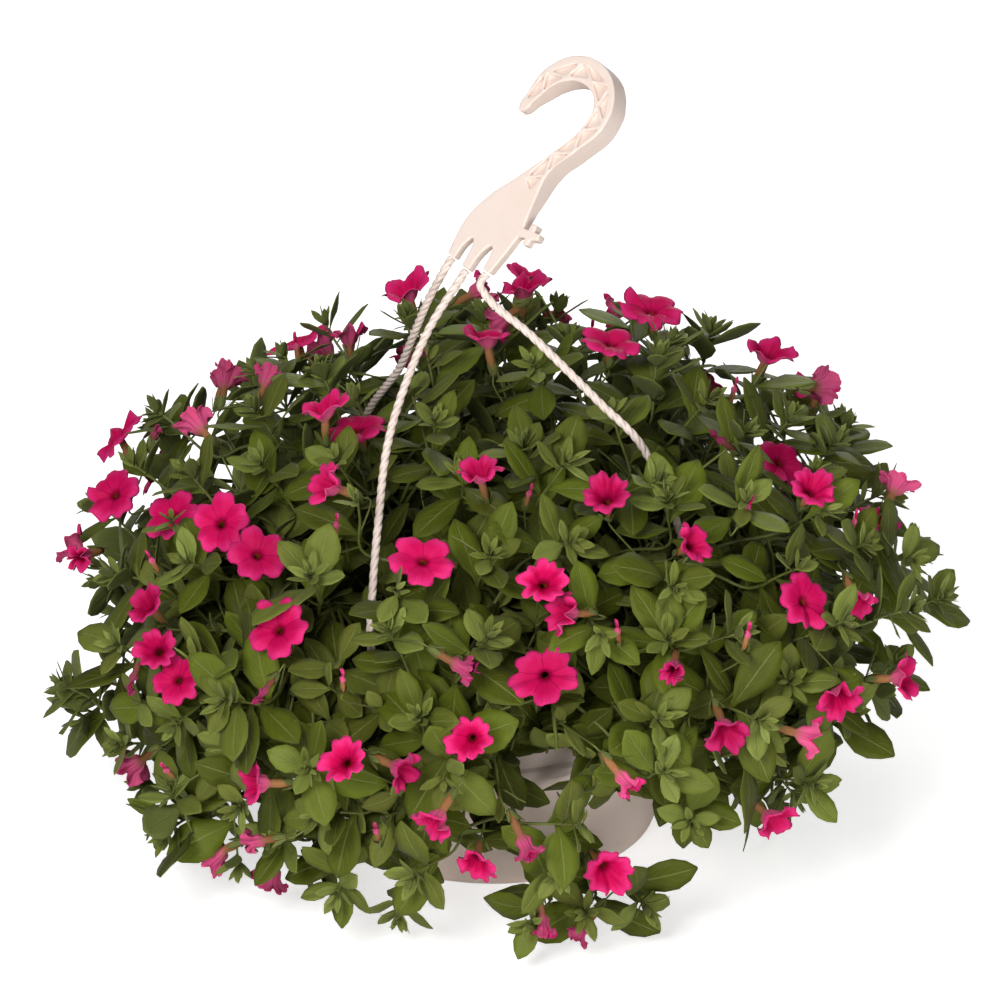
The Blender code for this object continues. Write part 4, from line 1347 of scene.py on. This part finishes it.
# flowers by kind: turn and elevation on the mound, those of the far side last
flowerPlaces = {
    "open": [(-151, 41), (-53, 45), (26, 78), (178, 28), (52, 62), (82, 36), (100, 14), (128, 38),
             (160, 24), (60, 14), (28, 34), (140, -12), (70, -20)],
    "cupped": [(-137, 67), (-163, 61), (125, 82), (-103, 64), (-144, 17), (-148, 23), (-84, 43),
               (-20, 43), (28, 50), (87, 50), (-110, 8), (-22, 1), (-44, -17), (115, 52), (172, 6),
               (40, -6), (92, 66), (-70, 58)],
    "side": [(-136, 55), (160, 51), (100, 50), (99, 71), (68, 48), (141, 71), (176, 45), (-4, 22),
             (3, 25), (-122, -1), (-104, 9), (-97, 1), (-133, -41), (-141, -37), (-58, 13), (-46, 5),
             (-36, 8), (-152, -19), (20, 42), (-78, 40), (-25, 23), (150, 40), (110, -10), (20, -14)],
    "half": [(-36, 68), (-96, 30), (-63, 26), (-73, 7), (-123, -17), (-80, -37), (-71, -40),
             (-86, -4), (178, 12), (132, 20), (80, 8)],
    "wilted": [(-122, -45), (-93, 30), (-26, 60), (-63, 75), (-123, 19), (-150, 8), (58, 32),
               (170, 36), (120, -4)],
    "bud": [(-112, 24), (-70, 34), (-35, 48), (-90, 62), (-155, 30), (-130, 50), (-15, 32),
            (-50, 26), (-106, -8), (-140, -8), (10, 60), (75, 24), (140, 48)],
}


def flowerAim(place, kind):
    normal = moundNormal(place)
    toss = gaussToss() * 0.22
    front = max(0.0, normal.dot(sight))
    if kind == "open":
        return (normal * 0.7 + sight * (0.75 * front) + up * 0.12 + toss * 0.6).normalized()
    if kind in ("side", "half"):
        along = up.cross(normal).normalized() * dice.choice((-1, 1)) * dice.uniform(0.3, 0.9)
        return (normal * 0.55 + along + up * dice.uniform(-0.75, 0.1) + toss).normalized()
    if kind == "wilted":
        return (normal * 0.6 - up * 0.5 + toss * 1.4).normalized()
    if kind == "bud":
        return (normal * 0.6 + up * 0.6 + toss).normalized()
    return (normal * 0.9 + up * 0.15 + sight * (0.3 * front) + toss).normalized()


def makeFlower(place, kind, aim=None):
    # place is the limb's middle
    aim = flowerAim(place, kind) if aim is None else aim
    height = corolla["height"] * flowerKinds[kind]["size"]
    return {"kind": kind, "centre": place, "aim": aim, "foot": place - aim * height,
            "size": dice.uniform(0.92, 1.07), "spin": dice.uniform(0, math.tau)}


bloomValues = {"count": 21, "open": (1, 2, 3, 4, 6, 8, 9, 10, 11, 16, 18, 20), "forward": 6.0,
               "apart": 14, "fromStrand": 15, "lowestFoot": 3, "lowest": 20, "outside": 3.0,
               "scatter": (-6, 4)}


def bloomFlowers():
    # one open flower for each CAD blossom, about the middle of the blossom's box
    flowers = []
    for number in range(1, bloomValues["count"] + 1):
        low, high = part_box(f"blossom_{number}")
        middle = ((low + high) / 2 - potFoot) / mm
        kind = "open" if number in bloomValues["open"] else "cupped" if number % 2 else "side"
        aim = flowerAim(middle, kind)
        flowers.append(makeFlower(middle + aim * bloomValues["forward"], kind, aim))
    return flowers


def looseFlowers():
    flowers = []
    for kind, places in flowerPlaces.items():
        for degrees, elevation in places:
            outside = 0.0 if kind == "bud" else bloomValues["outside"]
            place = moundPlace(degrees, elevation, -outside)
            scatter = moundNormal(place) * dice.uniform(*bloomValues["scatter"])
            flowers.append(makeFlower(leaned(place) + scatter, kind))
    return flowers


blooms = bloomFlowers()


def roomFor(flower):
    centre = flower["centre"]
    toStrand = np.linalg.norm(strandPoints - np.array(centre), axis=1).min()
    return (all((centre - other["centre"]).length > bloomValues["apart"] for other in blooms)
            and toStrand > bloomValues["fromStrand"] and not inPotSpace(centre)
            and flower["foot"].z > bloomValues["lowestFoot"] and centre.z > bloomValues["lowest"])


extras = [flower for flower in looseFlowers() if roomFor(flower)]
print("flowers planned:", len(blooms), len(extras))


def frameOf(aim, spin):
    side = aim.orthogonal().normalized()
    other = aim.cross(side)
    x = side * math.cos(spin) + other * math.sin(spin)
    return x, aim.cross(x), aim


def addFlower(gathered, flower):
    x, y, z = frameOf(flower["aim"], flower["spin"])
    size = flower["size"]
    master = dice.choice(flowerMasters[flower["kind"]])
    skew = x * dice.gauss(0, 0.1) + y * dice.gauss(0, 0.1)
    columns = [tuple((x + z * dice.gauss(0, 0.1)) * size * dice.uniform(0.9, 1.06)),
               tuple((y + z * dice.gauss(0, 0.1)) * size * dice.uniform(0.9, 1.06)), tuple((z + skew) * size)]
    tone = dice.uniform(0.15, 1.0)
    fade = flowerKinds[flower["kind"]]["fade"] * dice.uniform(0.6, 1.2)
    gathered.add(master, columns, tuple(flower["foot"]), (tone, fade))


# leaves

flowerCentres = np.array([tuple(f["centre"]) for f in blooms + extras])
flowerAims = np.array([tuple(f["aim"]) for f in blooms + extras])
flowerReach = np.array([flowerKinds[f["kind"]]["reach"] * f["size"] for f in blooms + extras])


def coversFlower(probe):
    away = probe[:, None] - flowerCentres[None]
    ahead = np.einsum("pfk,fk->pf", away, flowerAims)
    aside = np.linalg.norm(away - ahead[..., None] * flowerAims[None], axis=2)
    return ((aside < flowerReach[None]) & (ahead > -5) & (ahead < 32)).any()


# share of the width tried for room, most past the CAD's box, spread of the sizes, scatter of the turn and
# the lean, tilt of the blade, and the leaves of one shoot: how many are small, and the fewest to keep it
leafing = {"halfWidth": 0.24, "past": 19, "stretch": (0.88, 1.12), "turnToss": 10, "leanToss": 7,
           "toss": 0.26, "small": 9, "fewest": 4, "scale": (0.9, 1.16), "turnOver": 9, "oldOver": 17.0,
           # the inner shoots' tones are low: painted shade deep inside the mound
           "tones": (0.25, 1.0), "shadedInnerTones": (0.0, 0.45)}
boxLow, boxHigh = [np.array((corner - potFoot) / mm) for corner in (cadLow, cadHigh)]
probeShares = np.array([(0.0, 0.35), (-0.8, 0.55), (0.8, 0.55), (0.0, 0.7), (0.0, 1.0)])


def addLeaf(gathered, base, way, facing, length, masters, info):
    normal = (facing - way * facing.dot(way)).normalized()
    side = way.cross(normal)
    width = length * leafing["halfWidth"]
    probe = np.array([tuple(base + side * (width * a) + way * (length * b)) for a, b in probeShares])
    if blocked(probe) or coversFlower(probe):
        return
    low, high = probe.min(axis=0), probe.max(axis=0)
    if (low < boxLow - leafing["past"]).any() or (high > boxHigh + leafing["past"]).any():
        return
    stretch = dice.uniform(*leafing["stretch"])
    columns = [tuple(side * length * stretch), tuple(way * length), tuple(normal * length)]
    gathered.add(dice.choice(masters), columns, tuple(base), info)


def leafShoot(gathered, shoot, gaps, scale):
    route, turn = shoot["route"], dice.uniform(0, 360)
    youngest = dice.uniform(0.0, 0.25)
    for number, (distance, length, angle) in enumerate(gaps):
        index = min(len(route) - 2, int(distance * scale))
        base = route[index]
        axis = (route[max(index - 1, 0)] - route[index + 1]).normalized()
        turn += growth["golden"] + dice.gauss(0, leafing["turnToss"])
        out = frameOf(axis, math.radians(turn))[0]
        lean = math.radians(angle + dice.gauss(0, leafing["leanToss"]))
        way = axis * math.cos(lean) + out * math.sin(lean)
        outward = moundNormal(base)
        # the blades of older leaves turn to the light
        older = min(1.0, distance / leafing["turnOver"])
        way = (way + (outward * 0.2 + up * 0.12) * older * 0.6).normalized()
        facing = (axis * (1.0 - 0.55 * older) + (outward * 0.6 + up * 0.4) * older)
        facing += gaussToss() * leafing["toss"]
        age = min(1.0, youngest + distance / leafing["oldOver"])
        length *= scale * dice.uniform(0.86, 1.12)
        outer = gaps is growth["gaps"]
        masters = smallLeaves if outer and number < leafing["small"] else largeLeaves
        # leaves of the inner shoots take low tones, painted shade for the inside of the mound
        tone = dice.uniform(*leafing["tones" if outer else "shadedInnerTones"])
        addLeaf(gathered, base, way, facing, length, masters, (tone, age))


# flower stalks and sepals, and the stems

stemShape = {"mainTip": 0.9, "mainRoot": 1.9, "sideTip": 0.6, "sideRoot": 0.95, "stalk": 0.45,
             "stalkRoot": 1.2, "stalkBack": 9, "stalkIn": 7, "stalkStraight": 6, "stalkStep": 2.0,
             "sepals": 5, "sepalLength": 7.5, "sepalWidth": 0.95, "budSepals": 0.7,
             "sepalOut": 1.1, "sepalBack": 0.9}


def stemTree():
    points = [(p, shoot["owner"]) for shoot in leafyShoots for p in shoot["route"][6::3]]
    tree = KDTree(len(points))
    for index, (place, owner) in enumerate(points):
        tree.insert(place, index)
    tree.balance()
    return tree, points


def planStalks():
    # every flower's stalk comes from the nearest stem behind it
    tree, points = stemTree()
    for flower in blooms + extras:
        foot = flower["foot"]
        wanted = foot - flower["aim"] * stemShape["stalkBack"] - moundNormal(foot) * stemShape["stalkIn"]
        place, index, gap = tree.find(wanted)
        bend = foot - flower["aim"] * stemShape["stalkStraight"]
        flower["stalk"] = smoothRoute([foot, bend, place], stemShape["stalkStep"])
        flower["owner"] = points[index][1]


def addSepals(gathered, flower):
    x, y, z = frameOf(flower["aim"], flower["spin"])
    size = flower["size"] * (stemShape["budSepals"] if flower["kind"] == "bud" else 1.0)
    for number in range(stemShape["sepals"]):
        turn = math.tau * (number + 0.5) / stemShape["sepals"]
        out = x * math.cos(turn) + y * math.sin(turn)
        way = (z + out * dice.uniform(0.18, 0.5)).normalized()
        length = stemShape["sepalLength"] * size * dice.uniform(0.9, 1.2)
        base = flower["foot"] + out * stemShape["sepalOut"] - z * stemShape["sepalBack"]
        normal = (z * 0.3 - out).normalized()
        normal = (normal - way * normal.dot(way)).normalized()
        side = way.cross(normal)
        width = side * length * stemShape["sepalWidth"]
        columns = [tuple(width), tuple(way * length), tuple(normal * length)]
        gathered.add(smallLeaves[number % 2], columns, tuple(base), (dice.random(), 0.35))


def addSpline(curve, route, rootRadius, tipRadius):
    spline = curve.splines.new("POLY")
    spline.points.add(len(route) - 1)
    for index, (point, place) in enumerate(zip(spline.points, route)):
        point.co = (*inRow(place), 1.0)
        point.radius = tipRadius + (rootRadius - tipRadius) * (1 - index / (len(route) - 1))


def beforeWindow(route):
    # a main stem ends where it would come before a window
    for index in range(3, len(route)):
        if inWindow(*seenFrom(np.array([tuple(route[index])]))):
            return route[:index]
    return route


def makeStems():
    for name, route in stemRoutes.items():
        curve = bpy.data.curves.new(f"stems_{name}", "CURVE")
        curve.dimensions = "3D"
        curve.bevel_depth = mm
        curve.bevel_resolution = 1
        curve.use_fill_caps = True
        addSpline(curve, beforeWindow(route), stemShape["mainRoot"], stemShape["mainTip"])
        for shoot in leafyShoots:
            if shoot["owner"] == name:
                side = shoot["route"][::-4][:-1] + [shoot["tip"]]
                addSpline(curve, side, stemShape["sideRoot"], stemShape["sideTip"])
        for flower in blooms + extras:
            if flower["owner"] == name:
                thick = stemShape["stalk"] * stemShape["stalkRoot"]
                addSpline(curve, flower["stalk"][::-1], thick, stemShape["stalk"])
        obj = linked(f"stems_{name}", curve)
        makeActive(obj)
        bpy.ops.object.convert(target="MESH")
        smoothed(obj)
        finishPiece(obj, (), stemMaterial)


def growLeaves():
    # the leaves of every shoot by the CAD shoot they belong to, and the shoots that bear any
    gathered = {name: Gathered() for name in stemRoutes}
    leafy = []
    for shoots, gaps in ((surfaceShoots, growth["gaps"]), (innerShoots, growth["innerGaps"])):
        for shoot in shoots:
            own = gathered[shoot["owner"]]
            before = len(own.points)
            leafShoot(own, shoot, gaps, dice.uniform(*leafing["scale"]))
            if len(own.points) - before >= leafing["fewest"]:
                leafy.append(shoot)
    return gathered, leafy


gathered, leafyShoots = growLeaves()
planStalks()
makeStems()
print("stems made")


def makeLeaves():
    for flower in blooms + extras:
        addSepals(gathered[flower["owner"]], flower)
    total = 0
    for name, leaves in gathered.items():
        if not leaves.points:
            print("no leaves on", name)
            continue
        obj = leaves.build(f"leaves_{name}")
        finishPiece(obj, [f"shoot_{name}"], leafMaterial)
        total += len(obj.data.polygons)
    print("leaf faces in all:", total)


makeLeaves()


def makeBlooms():
    for number, flower in enumerate(blooms, 1):
        gathered = Gathered()
        addFlower(gathered, flower)
        obj = gathered.build(f"bloom_{number}")
        finishPiece(obj, [f"blossom_{number}"], petalMaterial)
    groups = {}
    for flower in extras:
        addFlower(groups.setdefault(flower["owner"], Gathered()), flower)
    for name, gathered in groups.items():
        finishPiece(gathered.build(f"flowers_{name}"), (), petalMaterial)


makeBlooms()
print("flowers made")
